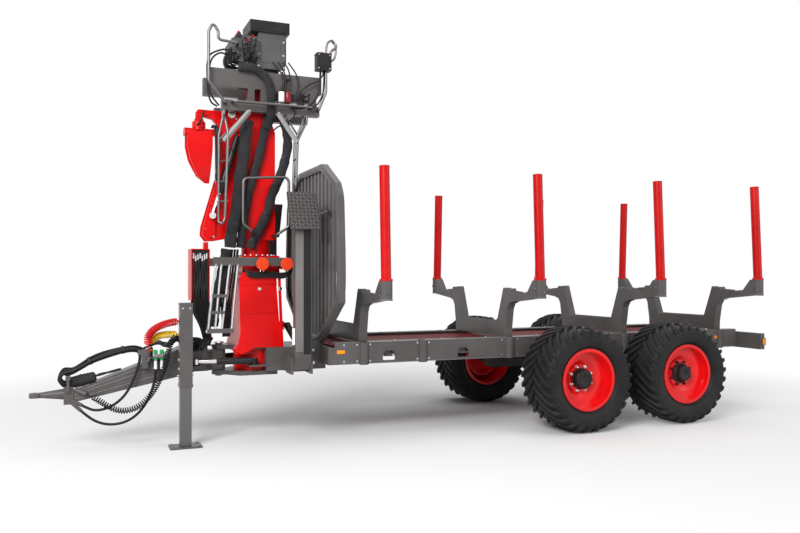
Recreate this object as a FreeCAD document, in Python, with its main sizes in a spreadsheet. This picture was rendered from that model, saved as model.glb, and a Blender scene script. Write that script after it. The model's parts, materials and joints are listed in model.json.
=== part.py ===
"""Forestry trailer with a folded timber crane, as a parametric document.

Millimetres. +X points to the towing eye, +Y to the left side, +Z up.
The origin lies on the ground under the middle of the trailer.
"""
import FreeCAD, Part
import Sketcher
import math
import os
import re

V = FreeCAD.Vector
doc = FreeCAD.newDocument("ForestryTrailer")
sheet = doc.addObject("Spreadsheet::Sheet", "Sizes")

# ---------------------------------------------------------------- driving sizes
SIZES = {
    # wheels
    "front_axle_x": -1165, "axle_spread": 1226, "axle_z": 515, "wheel_y": 1006,
    "tyre_radius": 515, "tyre_width": 500, "tread_depth": 22, "bead_radius": 286,
    "tyre_bulge": 400, "bead_rise": 10, "shoulder_in": 36, "flange_wide": 12,
    "lug_inner": 12, "lug_outer": 268, "lug_wide": 42, "lug_slant": 30,
    "front_hub_out": 70, "rear_hub_out": 100,
    "rim_flange": 303, "rim_width": 420, "rim_wall": 9, "disc_wall": 14,
    "hub_radius": 118, "hub_face": 74, "spindle_radius": 42, "drum_radius": 205,
    "running_gap": 0.4,
    # frame rails
    "rail_outer_y": 585, "rail_flange": 110, "rail_bottom": 700, "rail_top": 905,
    "rail_web": 12, "rail_front_x": 1220, "rail_rear_x": -3700,
    "socket_outer": 46, "socket_bore": 38, "spare_socket_x": 320,
    "key_slot_length": 126, "key_slot_height": 92, "slot_1_x": 676, "slot_2_x": -120,
    "pan_wall": 10, "cross_tube": 120,
    # bunks and stakes
    "bunk_1_x": 929, "bunk_2_x": -656, "bunk_3_x": -2106, "bunk_4_x": -3446,
    "bunk_wide": 84, "bunk_seat": 145, "horn_y": 520, "horn_z": 1400,
    "stake_y": 1145, "cup_outer": 56, "cup_bore": 48, "cup_bottom": 1310, "cup_top": 1485,
    "stake_radius": 46, "stake_top": 2503, "stake_lean": 2.5,
    "collar_radius": 59, "collar_height": 14,
    # headboard
    "gate_x": 1262, "gate_thick": 60, "gate_bar": 62, "gate_half": 930, "gate_top": 2590,
    "gate_bottom": 905, "slat_pitch": 118, "slat_wide": 60, "slat_thick": 26,
    # rear
    "bumper_x": -3780, "bumper_half": 900, "bumper_low": 690, "bumper_high": 870,
    "bumper_thick": 70,
    # bogies
    "rocker_y": 672, "rocker_wide": 120, "rocker_deep": 190, "bogie_axle_z": 610,
    # crane foot and front frame
    "neck_half": 300, "neck_low": 640, "neck_top": 860, "beam_top": 800,
    "column_x": 1835, "foot_half": 280, "foot_low": 860, "foot_high": 1560,
    "drum_outer": 210, "drum_low": 620, "slew_top": 1720, "slew_cylinder_z": 1640,
    "slew_cylinder_radius": 50, "slew_cylinder_reach": 352, "slew_a_x": 1845, "slew_b_x": 1615,
    "plate_wall": 40, "yoke_low": 600, "yoke_high": 880,
    # drawbar and jack
    "pivot_x": 2185, "pivot_pin": 32, "eye_x": 3764, "eye_z": 486, "eye_outer": 49,
    "eye_bore": 21, "eye_thick": 40, "flange_x": 3535, "bar_front_x": 3455,
    "jack_x": 2531, "jack_y": 320, "jack_tube": 110, "jack_wall": 6, "jack_low": 538,
    "jack_high": 1284, "jack_leg_top": 800, "jack_foot": 12,
    # crane
    "boom_pivot_x": 2085, "boom_pivot_z": 3050, "knuckle_x": 2285, "knuckle_z": 1930,
    "boom_pin": 28, "boom_tube": 40, "cheek_y": 75, "cheek_wall": 15, "stick_back_x": 2125,
    "stick_deep": 90, "stick_half": 60, "stick_low": 2010, "stick_high": 2950,
    "stick_wall": 4, "inner_gap": 6, "pad_long": 60, "tip_x": 2375, "tip_z": 3065,
    "head_z": 2895, "jaw_pin_y": 55, "jaw_pin_z": 2868, "jaw_pin": 12, "jaw_half": 118,
    "mast_back_x": 1675, "mast_front_x": 1955, "mast_half": 130, "mast_low": 1870,
    "mast_high": 2900, "mast_shaft": 135, "head_radius": 120, "head_top": 3330,
    "beam_y": 210, "beam_half": 40, "beam_low": 3280, "beam_high": 3445,
    "tray_low": 3066, "tray_high": 3163, "housing_low": 3550, "housing_high": 3850,
    "cover_top": 3958, "handle_radius": 13, "rung_radius": 9,
    # crane cylinders
    "lift_y": -181, "lift_foot_x": 1800, "lift_foot_z": 1935, "lift_eye_x": 2075,
    "lift_eye_z": 2700, "lift_radius": 36, "lift_rod": 20,
    "fold_y": 146, "fold_foot_x": 2035, "fold_foot_z": 2850, "fold_eye_x": 2270,
    "fold_eye_z": 2089, "fold_radius": 32, "fold_rod": 17,
    # support legs
    "leg_x": 1550, "leg_wide": 200, "leg_hinge_y": 610, "leg_hinge_z": 705,
    "leg_top": 1965, "foot_tilt": 23,
    "leg_foot_y": 120, "leg_foot_z": 1048, "leg_eye_y": 535, "leg_eye_z": 895,
    "leg_radius": 33, "leg_rod": 18, "leg_pin": 22, "pin_radius": 12,
    # steering cylinders
    "steer_foot_x": 1900, "steer_foot_y": 270, "steer_eye_x": 2420, "steer_eye_y": 170,
    "steer_z": 740, "steer_radius": 32, "steer_rod": 18,
    "rack_z": 798, "hose_radius": 12, "coil_radius": 28, "lead_radius": 20,
    "sleeve_radius": 34,
    # shared
    "eye_plate": 15, "side_gap": 5,
}
for row, (alias, number) in enumerate(SIZES.items(), start=1):
    sheet.set(f"A{row}", alias)
    sheet.set(f"B{row}", str(number))
    sheet.setAlias(f"B{row}", alias)
doc.recompute()

# Routes of the free cords on the drawbar, from the end nearer the jack or the rack.
ROUTES = {
    "red_coil": [(2545, 150, 1112), (2600, 150, 1112), (2675, 150, 1098), (2752, 150, 1070),
                 (2815, 150, 1025), (2846, 150, 968), (2833, 150, 915), (2833, 150, 875)],
    "yellow_coil": [(2545, 88, 990), (2600, 88, 990), (2665, 88, 993), (2730, 88, 988),
                    (2782, 88, 965), (2805, 88, 922), (2805, 88, 878)],
    "electric_coil": [(2545, 215, 990), (2590, 215, 990), (2632, 215, 962), (2655, 216, 905),
                      (2670, 217, 825), (2696, 218, 725), (2733, 218, 620), (2785, 217, 515),
                      (2850, 213, 425), (2925, 206, 365), (3008, 196, 336), (3093, 184, 340),
                      (3168, 168, 376), (3236, 152, 425), (3300, 134, 468), (3350, 112, 490)],
    "hose_loop_1": [(2908, 150, 820), (2908, 150, 775), (2924, 150, 705), (2952, 149, 620),
                    (2992, 146, 530), (3045, 142, 450), (3115, 136, 390), (3200, 128, 350),
                    (3285, 115, 342), (3345, 101, 368), (3385, 92, 390)],
    "hose_loop_2": [(2773, 174, 688), (2773, 174, 640), (2788, 174, 560), (2818, 173, 465),
                    (2862, 171, 375), (2925, 167, 295), (3005, 161, 240), (3095, 153, 215),
                    (3190, 141, 218), (3275, 125, 248), (3345, 107, 298), (3395, 92, 345)],
}

NODES = []
TURN = {
    "x": FreeCAD.Rotation(V(0, 1, 0), 90),
    "y": FreeCAD.Rotation(V(1, 0, 0), -90),
    "z": FreeCAD.Rotation(),
}
NORMAL = {"XY": "z", "XZ": "y", "YZ": "x"}


# ---------------------------------------------------------------- helpers
def size(alias):
    """Read one driving size from the sheet."""
    return float(sheet.get(alias))


def cell(text):
    """Write an expression's sizes as references to the sheet."""
    def refer(word):
        return "Sizes." + word.group(0) if word.group(0) in SIZES else word.group(0)
    return re.sub(r"[A-Za-z_]\w*", refer, str(text))


def bind(item, place, text):
    """Tie one property to an expression of driving sizes."""
    item.setExpression(place, cell(text))


def place_at(item, at):
    """Tie an item's position to three expressions."""
    for axis, text in zip("xyz", at):
        bind(item, f"Placement.Base.{axis}", text)
    return item


def box(name, across, sideways, upright):
    """A block given by its low and high side along X, Y and Z."""
    item = doc.addObject("Part::Box", name)
    spans = (across, sideways, upright)
    for side, (low, high) in zip(("Length", "Width", "Height"), spans):
        bind(item, side, f"({high}) - ({low})")
    return place_at(item, [low for low, high in spans])


def rod(name, radius, length, at, axis="z"):
    """A round bar from a point along +X, +Y or +Z."""
    item = doc.addObject("Part::Cylinder", name)
    item.Placement = FreeCAD.Placement(V(), TURN[axis])
    bind(item, "Radius", radius)
    bind(item, "Height", length)
    return place_at(item, at)


def fuse(name, items):
    item = doc.addObject("Part::MultiFuse", name)
    item.Shapes = items
    item.Refine = True
    return item


def cut(name, base, tool):
    item = doc.addObject("Part::Cut", name)
    item.Base = base
    item.Tool = tool
    return item


def common(name, first, second):
    item = doc.addObject("Part::MultiCommon", name)
    item.Shapes = [first, second]
    return item


def group(name, items):
    """Like pieces that don't touch, kept as one sub-part."""
    item = doc.addObject("Part::Compound", name)
    item.Links = items
    return item


def mirrored(name, item):
    """The same piece on the other side of the trailer."""
    twin = doc.addObject("Part::Mirroring", name)
    twin.Source = item
    twin.Normal = V(0, 1, 0)
    return twin


def ring(name, outer, bore, length, at, axis="z"):
    """A tube: a round bar with a bore right through."""
    core = rod(name + "_bore", bore, length, at, axis)
    return cut(name, rod(name + "_body", outer, length, at, axis), core)


def outline_sketch(body, name, plane, outline):
    """A closed outline of straight sides, each corner tied to its two expressions."""
    sketch = body.newObject("Sketcher::SketchObject", name + "_outline")
    role = plane + "_Plane"
    origin = [f for f in body.Origin.OriginFeatures if f.Role == role][0]
    sketch.AttachmentSupport = [(origin, "")]
    sketch.MapMode = "FlatFace"
    count = len(outline)
    start = [
        V(500 * math.cos(2 * math.pi * i / count), 500 * math.sin(2 * math.pi * i / count), 0)
        for i in range(count)
    ]
    for i in range(count):
        sketch.addGeometry(Part.LineSegment(start[i], start[(i + 1) % count]), False)
    for i in range(count):
        sketch.addConstraint(Sketcher.Constraint("Coincident", i, 2, (i + 1) % count, 1))
    for i, corner in enumerate(outline):
        for kind, text, value in zip(("DistanceX", "DistanceY"), corner, start[i]):
            index = sketch.addConstraint(Sketcher.Constraint(kind, -1, 1, i, 1, value))
            sketch.setExpression(f"Constraints[{index}]", cell(text))
    return sketch


def plate(name, plane, outline, thickness, middle="0", fillet=None):
    """An outline padded both ways from its middle plane, with its corners rounded."""
    body = doc.addObject("PartDesign::Body", name)
    sketch = outline_sketch(body, name, plane, outline)
    pad = body.newObject("PartDesign::Pad", name + "_pad")
    pad.Profile = sketch
    pad.Midplane = True
    bind(pad, "Length", thickness)
    if fillet:
        round_corners(body, pad, name, plane, fillet)
    bind(body, "Placement.Base." + NORMAL[plane], middle)
    return body


def round_corners(body, pad, name, plane, radius):
    """Round the pad's edges that run through its thickness."""
    doc.recompute()
    along = {"XY": V(0, 0, 1), "XZ": V(0, 1, 0), "YZ": V(1, 0, 0)}[plane]
    edges = [
        f"Edge{i}" for i, edge in enumerate(pad.Shape.Edges, start=1)
        if abs(abs(edge.tangentAt(edge.FirstParameter).dot(along)) - 1) < 1e-6
    ]
    rounding = body.newObject("PartDesign::Fillet", name + "_round")
    rounding.Base = (pad, edges)
    bind(rounding, "Radius", radius)


def turned(name, outline, at):
    """An outline of width and radius turned about an axle along Y."""
    body = doc.addObject("PartDesign::Body", name)
    sketch = outline_sketch(body, name, "YZ", outline)
    solid = body.newObject("PartDesign::Revolution", name + "_turn")
    solid.Profile = sketch
    axle = [f for f in body.Origin.OriginFeatures if f.Role == "Y_Axis"][0]
    solid.ReferenceAxis = (axle, [""])
    solid.Angle = 360
    return place_at(body, at)


def rounded_path(points, bend=None):
    """Straight runs joined by tangent arcs; with no bend given, as large as the runs allow."""
    edges = []
    last = points[0]
    for before, here, after in zip(points, points[1:], points[2:]):
        back = before - here
        ahead = after - here
        half_turn = (math.pi - back.getAngle(ahead)) / 2
        shorter = min(back.Length, ahead.Length)
        radius = 0.45 * shorter / math.tan(half_turn)
        if bend:
            radius = min(bend, radius)
        reach = radius * math.tan(half_turn)
        start = here + back.normalize() * reach
        end = here + ahead.normalize() * reach
        inward = (back + ahead).normalize()
        middle = here + inward * (radius / math.cos(half_turn) - radius)
        edges.append(Part.LineSegment(last, start).toShape())
        edges.append(Part.Arc(start, middle, end).toShape())
        last = end
    edges.append(Part.LineSegment(last, points[-1]).toShape())
    return Part.Wire(edges)


def bent_tube(points, radius, bend=None):
    """A round bar swept along a path of runs and arcs."""
    points = [V(*point) for point in points]
    path = rounded_path(points, bend)
    ahead = points[1] - points[0]
    profile = Part.Wire(Part.makeCircle(radius, points[0], ahead))
    return path.makePipeShell([profile], True, False)


def feature(name, shape):
    item = doc.addObject("Part::Feature", name)
    item.Shape = shape
    return item


def keep(item, label):
    """Name a finished sub-part; its label is its file's name."""
    item.Label = label
    NODES.append(item)
    return item


# ---------------------------------------------------------------- wheels
LUGS = 15


def tread_lug():
    """One slanting lug on the left half of the tread, at the top of a tyre centred on the origin."""
    tip = size("tyre_radius")
    root = tip - size("tread_depth")
    inner = size("lug_inner")
    outer = size("lug_outer")
    wide = size("lug_wide")
    slant = size("lug_slant")
    middle = 0.45 * outer
    outline = [
        (inner, root - 20),
        (inner, tip - 5),
        (middle, tip),
        (outer - 30, tip - 9),
        (outer, tip - 62),
        (outer - 40, tip - 92),
    ]
    corners = [V(-wide / 2, along - middle, high) for along, high in outline]
    lug = Part.Face(Part.makePolygon(corners + corners[:1])).extrude(V(wide, 0, 0))
    lug.rotate(V(), V(0, 0, 1), slant)
    lug.translate(V(0, middle * math.cos(math.radians(slant)), 0))
    return lug


def lugged_tyre():
    """A tyre centred on the origin: a ring of narrow flats with two staggered rows of lugs."""
    flats = 2 * LUGS
    bead = size("bead_radius") / math.cos(math.pi / flats)
    seat = size("rim_width") / 2 - size("flange_wide")
    wall = size("rim_flange") + size("bead_rise")
    bulge = size("tyre_bulge")
    root = size("tyre_radius") - size("tread_depth")
    half = size("tyre_width") / 2
    shoulder = half - size("shoulder_in")
    right = [(-seat, bead), (-seat, wall), (-half, bulge), (-shoulder, root)]
    outline = right + [(-across, high) for across, high in reversed(right)]

    def spot(across, high, index):
        turn = 2 * math.pi * index / flats
        return V(high * math.sin(turn), across, high * math.cos(turn))

    faces = []
    for first, second in zip(outline, outline[1:] + outline[:1]):
        for index in range(flats):
            corners = [spot(*first, index), spot(*second, index)]
            corners += [spot(*second, index + 1), spot(*first, index + 1)]
            faces.append(Part.Face(Part.makePolygon(corners + corners[:1])))
    shell = Part.makeShell(faces)
    shell.sewShape()
    carcass = Part.Solid(shell)
    if carcass.Volume < 0:
        carcass.reverse()
    lugs = []
    left_lug = tread_lug()
    right_lug = left_lug.mirror(V(), V(0, 1, 0))
    for lug, stagger in ((left_lug, 0), (right_lug, 0.5)):
        for index in range(LUGS):
            turned_lug = lug.copy()
            turned_lug.rotate(V(), V(0, 1, 0), 360 / LUGS * (index + stagger))
            lugs.append(turned_lug)
    return carcass.fuse(lugs).removeSplitter()


def wheel(side, end, x, hub_out, tyre_shape):
    """One wheel: tyre and rim, on the left or right, at the front or rear axle."""
    sign = "1" if side == "left" else "-1"
    at = (x, f"{sign} * wheel_y", "axle_z")
    keep(place_at(feature(f"tyre_shape_{end}_{side}", tyre_shape), at), f"tyre_{end}_{side}")
    face = f"{sign} * ({hub_out})"
    barrel = turned(f"rim_barrel_{end}_{side}", [
        ("-rim_width / 2", "rim_flange"),
        ("-rim_width / 2 + flange_wide", "rim_flange"),
        ("-rim_width / 2 + flange_wide", "bead_radius"),
        ("rim_width / 2 - flange_wide", "bead_radius"),
        ("rim_width / 2 - flange_wide", "rim_flange"),
        ("rim_width / 2", "rim_flange"),
        ("rim_width / 2", "bead_radius - rim_wall - 4"),
        ("rim_width / 2 - 60", "bead_radius - rim_wall - 14"),
        ("-rim_width / 2 + 60", "bead_radius - rim_wall - 14"),
        ("-rim_width / 2", "bead_radius - rim_wall - 4"),
    ], at)
    disc = turned(f"rim_disc_{end}_{side}", [
        (f"{face}", "spindle_radius + running_gap"),
        (f"{face}", "hub_radius + 22"),
        (f"{face} + {sign} * 30", "hub_radius + 70"),
        (f"{face} + {sign} * 34", "bead_radius - rim_wall - 10"),
        (f"{face} + {sign} * (34 - disc_wall)", "bead_radius - rim_wall - 10"),
        (f"{face} + {sign} * (30 - disc_wall)", "hub_radius + 76"),
        (f"{face} - {sign} * disc_wall", "hub_radius + 28"),
        (f"{face} - {sign} * disc_wall", "spindle_radius + running_gap"),
    ], at)
    hub = turned(f"hub_{end}_{side}", [
        (f"{face} - {sign} * 90", "spindle_radius + running_gap"),
        (f"{face} - {sign} * 90", "hub_radius - 20"),
        (f"{face} + {sign} * 12", "hub_radius - 20"),
        (f"{face} + {sign} * 30", "hub_radius - 40"),
        (f"{face} + {sign} * hub_face", "hub_radius - 48"),
        (f"{face} + {sign} * hub_face", "0"),
        (f"{face} + {sign} * 20", "0"),
        (f"{face} + {sign} * 20", "spindle_radius + running_gap"),
    ], at)
    drum = turned(f"drum_{end}_{side}", [
        (f"{face} - {sign} * disc_wall", "hub_radius - 30"),
        (f"{face} - {sign} * disc_wall", "drum_radius - 30"),
        (f"{face} - {sign} * 40", "drum_radius"),
        (f"{face} - {sign} * 150", "drum_radius"),
        (f"{face} - {sign} * 150", "drum_radius - 22"),
        (f"{face} - {sign} * 60", "drum_radius - 22"),
        (f"{face} - {sign} * 60", "hub_radius - 30"),
    ], at)
    keep(fuse(f"rim_shape_{end}_{side}", [barrel, disc, hub, drum]), f"rim_{end}_{side}")


def wheels():
    tyre_shape = lugged_tyre()
    for side in ("left", "right"):
        wheel(side, "front", "front_axle_x", "front_hub_out", tyre_shape)
        wheel(side, "rear", "front_axle_x - axle_spread", "rear_hub_out", tyre_shape)


def bogie(side):
    """A rocking beam between the wheels, hung on the frame's axle, with two spindles."""
    sign = "1" if side == "left" else "-1"
    middle = "front_axle_x - axle_spread / 2"
    beam = plate(f"rocker_shape_{side}", "XZ", [
        ("front_axle_x - axle_spread - 95", "axle_z - 70"),
        ("front_axle_x + 95", "axle_z - 70"),
        ("front_axle_x + 95", "axle_z + 60"),
        (f"{middle} + 240", "axle_z + rocker_deep - 20"),
        (f"{middle} - 240", "axle_z + rocker_deep - 20"),
        ("front_axle_x - axle_spread - 95", "axle_z + 60"),
    ], "rocker_wide", f"{sign} * rocker_y", "50")
    pieces = [beam]
    for end, x in (("front", "front_axle_x"), ("rear", "front_axle_x - axle_spread")):
        out = f"{end}_hub_out"
        low = "rocker_y + rocker_wide / 2 - 20"
        high = f"wheel_y + {out} + 18"
        if side == "left":
            start = low
        else:
            start = f"-({high})"
        pieces.append(rod(f"spindle_{end}_{side}", "spindle_radius", f"{high} - ({low})",
                          (x, start, "axle_z"), "y"))
    keep(fuse(f"bogie_shape_{side}", pieces), f"bogie_{side}")


# ---------------------------------------------------------------- frame
SOCKETS = ("bunk_1_x", "spare_socket_x", "bunk_2_x", "bunk_3_x", "bunk_4_x")


def rail(side):
    """One channel rail with its stake sockets and lashing slots."""
    sign = "1" if side == "left" else "-1"
    outer = f"{sign} * rail_outer_y"

    def across(near, far):
        """Low and high side of a span measured inward from the rail's outer face."""
        if side == "left":
            return (f"rail_outer_y - ({far})", f"rail_outer_y - ({near})")
        return (f"-rail_outer_y + ({near})", f"-rail_outer_y + ({far})")

    run = ("rail_rear_x", "rail_front_x")
    web = box(f"web_{side}", run, across("0", "rail_web"), ("rail_bottom", "rail_top"))
    top = box(f"top_flange_{side}", run, across("0", "rail_flange"),
              ("rail_top - rail_web", "rail_top"))
    low = box(f"low_flange_{side}", run, across("0", "rail_flange"),
              ("rail_bottom", "rail_bottom + rail_web"))
    centre = f"{sign} * (rail_outer_y - socket_outer + 4)"
    height = "rail_top - rail_bottom + 2 * 20"
    posts = []
    bores = []
    for index, x in enumerate(SOCKETS, start=1):
        posts.append(rod(f"socket_{side}_{index}", "socket_outer",
                         "rail_top - rail_bottom", (x, centre, "rail_bottom")))
        bores.append(rod(f"socket_bore_{side}_{index}", "socket_bore", height,
                         (x, centre, "rail_bottom - 20")))
    slots = []
    for index, x in enumerate(("slot_1_x", "slot_2_x"), start=1):
        slots.append(plate(f"lash_slot_{side}_{index}", "XZ", [
            (f"{x} - key_slot_length / 2", "rail_bottom + 25"),
            (f"{x} + key_slot_length / 2", "rail_bottom + 25"),
            (f"{x} + key_slot_length / 2", "rail_bottom + 25 + key_slot_height / 2"),
            (f"{x} + key_slot_length / 2 - 28", "rail_bottom + 25 + key_slot_height"),
            (f"{x} - key_slot_length / 2 + 28", "rail_bottom + 25 + key_slot_height"),
            (f"{x} - key_slot_length / 2", "rail_bottom + 25 + key_slot_height / 2"),
        ], "4 * rail_web", outer, "12"))
    body = fuse(f"rail_body_{side}", [web, top, low] + posts)
    holes = fuse(f"rail_holes_{side}", bores + slots)
    keep(cut(f"rail_shape_{side}", body, holes), f"frame_rail_{side}")


def floor_pan():
    """The closed pan and cross tubes between the rails."""
    inner = "rail_outer_y - rail_flange"
    side = (f"-({inner})", inner)
    pieces = [box("pan", ("rail_rear_x", "rail_front_x"), side,
                  ("rail_top - 30 - pan_wall", "rail_top - 30"))]
    for index, x in enumerate(("rail_front_x - 90", "bunk_1_x", "spare_socket_x", "bunk_2_x",
                               "bunk_3_x", "bunk_4_x", "rail_rear_x + 70"), start=1):
        pieces.append(box(f"cross_{index}", (f"{x} - cross_tube / 2", f"{x} + cross_tube / 2"),
                          (f"-({inner}) - 20", f"{inner} + 20"),
                          ("rail_bottom + rail_web", "rail_top - 30")))
    keep(fuse("floor_shape", pieces + bogie_mount()), "floor_pan")


def bogie_mount():
    """The fixed axle under the rails that carries both rocking beams."""
    middle = "front_axle_x - axle_spread / 2"
    reach = "rocker_y - rocker_wide / 2"
    axle = box("bogie_axle_bar", (f"{middle} - 70", f"{middle} + 70"),
               (f"-({reach})", reach), ("bogie_axle_z - 65", "bogie_axle_z + 65"))
    pieces = [axle]
    for side, sign in (("left", 1), ("right", -1)):
        pieces.append(plate(f"bogie_hanger_{side}", "XZ", [
            (f"{middle} - 110", "bogie_axle_z - 65"),
            (f"{middle} + 110", "bogie_axle_z - 65"),
            (f"{middle} + 620", "rail_bottom - 40"),
            (f"{middle} + 620", "rail_bottom"),
            (f"{middle} - 420", "rail_bottom"),
            (f"{middle} - 420", "rail_bottom - 30"),
        ], "90", f"{sign} * (rail_outer_y - 60)"))
    return pieces


def rear_bumper():
    """The bar across the rear end and its two lamp bodies."""
    bar = plate("bumper_bar", "XY", [
        ("bumper_x - bumper_thick / 2", "-bumper_half"),
        ("bumper_x + bumper_thick / 2", "-bumper_half"),
        ("bumper_x + bumper_thick / 2", "bumper_half"),
        ("bumper_x - bumper_thick / 2", "bumper_half"),
    ], "bumper_high - bumper_low", "(bumper_high + bumper_low) / 2", "12")
    pieces = [bar]
    for side, sign in (("left", 1), ("right", -1)):
        y = "rail_outer_y - 45"
        span = (f"{y} - 40", f"{y} + 40") if sign > 0 else (f"-({y}) - 40", f"-({y}) + 40")
        pieces.append(box(f"bumper_arm_{side}", ("bumper_x + bumper_thick / 2 - 5", "rail_rear_x"),
                          span, ("bumper_low + 10", "bumper_high - 20")))
    lamps = []
    for side, sign in (("left", 1), ("right", -1)):
        low = "bumper_half" if sign > 0 else "-bumper_half - 22"
        high = "bumper_half + 22" if sign > 0 else "-bumper_half"
        lamps.append(box(f"lamp_{side}", ("bumper_x - 28", "bumper_x + 28"), (low, high),
                         ("bumper_low + 50", "bumper_high - 50")))
    keep(fuse("bumper_shape", pieces + lamps), "rear_bumper")


# ---------------------------------------------------------------- bunks and stakes
def bunk_half(name):
    """Half of a bunk: cross beam, leaning arm with its horn, and the run out to the cup."""
    seat = "rail_top + bunk_seat"
    return plate(name, "YZ", [
        ("-1", "rail_top"),
        ("rail_outer_y - 30", "rail_top"),
        ("rail_outer_y - 28", "rail_top + 90"),
        ("rail_outer_y + 6", "horn_z - 210"),
        ("rail_outer_y + 40", "horn_z - 155"),
        ("rail_outer_y + 120", "horn_z - 130"),
        ("stake_y - 20", "cup_bottom + 2"),
        ("stake_y - 20", "cup_top"),
        ("stake_y - 70", "cup_top"),
        ("stake_y - 170", "horn_z - 30"),
        ("stake_y - 330", "horn_z - 44"),
        ("horn_y + 130", "horn_z - 34"),
        ("horn_y + 112", "horn_z"),
        ("horn_y + 96", "horn_z"),
        ("horn_y + 84", "horn_z - 28"),
        ("horn_y + 22", "horn_z - 22"),
        ("horn_y + 14", "horn_z + 6"),
        ("horn_y", "horn_z + 6"),
        ("horn_y - 130", f"{seat} + 12"),
        ("horn_y - 150", seat),
        ("-1", seat),
    ], "bunk_wide")


def bunk(number):
    """One bunk across the rails, with a stake cup at each end."""
    name = f"bunk_{number}"
    half = bunk_half(name + "_half")
    cups = []
    bores = []
    for side, sign in (("left", "1"), ("right", "-1")):
        at = ("0", f"{sign} * stake_y", "cup_bottom")
        cups.append(rod(f"{name}_cup_{side}", "cup_outer", "cup_top - cup_bottom", at))
        bores.append(rod(f"{name}_cup_bore_{side}", "cup_bore", "cup_top - cup_bottom", at))
    body = fuse(name + "_body", [half, mirrored(name + "_twin", half)] + cups)
    shape = cut(name + "_shape", body, fuse(name + "_bores", bores))
    bind(shape, "Placement.Base.x", f"bunk_{number}_x")
    keep(shape, name)


def stake(name, sign, x):
    """One stake: a collar on the cup's rim and a tube that leans in."""
    collar = rod(name + "_collar", "collar_radius", "collar_height", ("0", "0", "0"))
    spigot = rod(name + "_spigot", "cup_bore - 3", "100", ("0", "0", "-100"))
    post = rod(name + "_post", "stake_radius", "(stake_top - cup_top) / cos(stake_lean)",
               ("0", "0", "0"))
    post.Placement = FreeCAD.Placement(V(), FreeCAD.Rotation(V(sign, 0, 0), size("stake_lean")))
    bind(post, "Placement.Rotation.Angle", "stake_lean")
    return place_at(fuse(name, [collar, spigot, post]), (x, f"{sign} * stake_y", "cup_top"))


def stakes():
    items = []
    for number in (1, 2, 3, 4):
        for side, sign in (("left", 1), ("right", -1)):
            items.append(stake(f"stake_{side}_{number}", sign, f"bunk_{number}_x"))
    keep(group("stakes_shape", items), "stakes")


def gate_outline(inset):
    """Half-symmetric outline of the headboard, moved in by an inset."""
    i = inset
    right = [
        (f"330 - ({i}) * 0.6", f"gate_bottom + ({i})"),
        (f"gate_half - ({i})", f"1290 + ({i}) * 0.3"),
        (f"gate_half - ({i})", f"1650"),
        (f"gate_half - 45 - ({i})", f"2250 - ({i}) * 0.4"),
        (f"gate_half - 120 - ({i})", f"2370 - ({i}) * 0.7"),
        (f"400 - ({i}) * 0.3", f"gate_top - ({i})"),
    ]
    left = [(f"-({y})", z) for y, z in reversed(right)]
    return right + left


def headboard():
    """A bent tube frame with upright slats between crane and load."""
    frame = plate("gate_frame", "YZ", gate_outline("0"), "gate_thick", "gate_x", "30")
    opening = plate("gate_opening", "YZ", gate_outline("gate_bar"), "gate_thick + 10", "gate_x")
    edge = cut("gate_edge", frame, opening)
    bars = []
    for index in range(-6, 7):
        y = f"{index} * slat_pitch"
        bars.append(box(f"slat_{index + 6}", ("gate_x - slat_thick / 2", "gate_x + slat_thick / 2"),
                        (f"{y} - slat_wide / 2", f"{y} + slat_wide / 2"),
                        ("gate_bottom", "gate_top")))
    sheet_metal = box("gate_sheet", ("gate_x - 4", "gate_x + 4"), ("-gate_half", "gate_half"),
                      ("gate_bottom", "gate_top"))
    panel = common("gate_panel", fuse("gate_bars", bars + [sheet_metal]),
                   plate("gate_fill", "YZ", gate_outline("gate_bar - 6"), "gate_thick", "gate_x"))
    foot = box("gate_foot", ("gate_x - gate_thick / 2", "gate_x + gate_thick / 2"),
               ("-280", "280"), ("neck_top", "gate_bottom + 20"))
    keep(fuse("gate_shape", [edge, panel, foot]), "headboard")


# ---------------------------------------------------------------- front frame and crane foot
def both_sides(low, high, sign):
    """A span of Y measured on the left side, or the same on the right."""
    return (low, high) if sign > 0 else (f"-({high})", f"-({low})")


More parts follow.
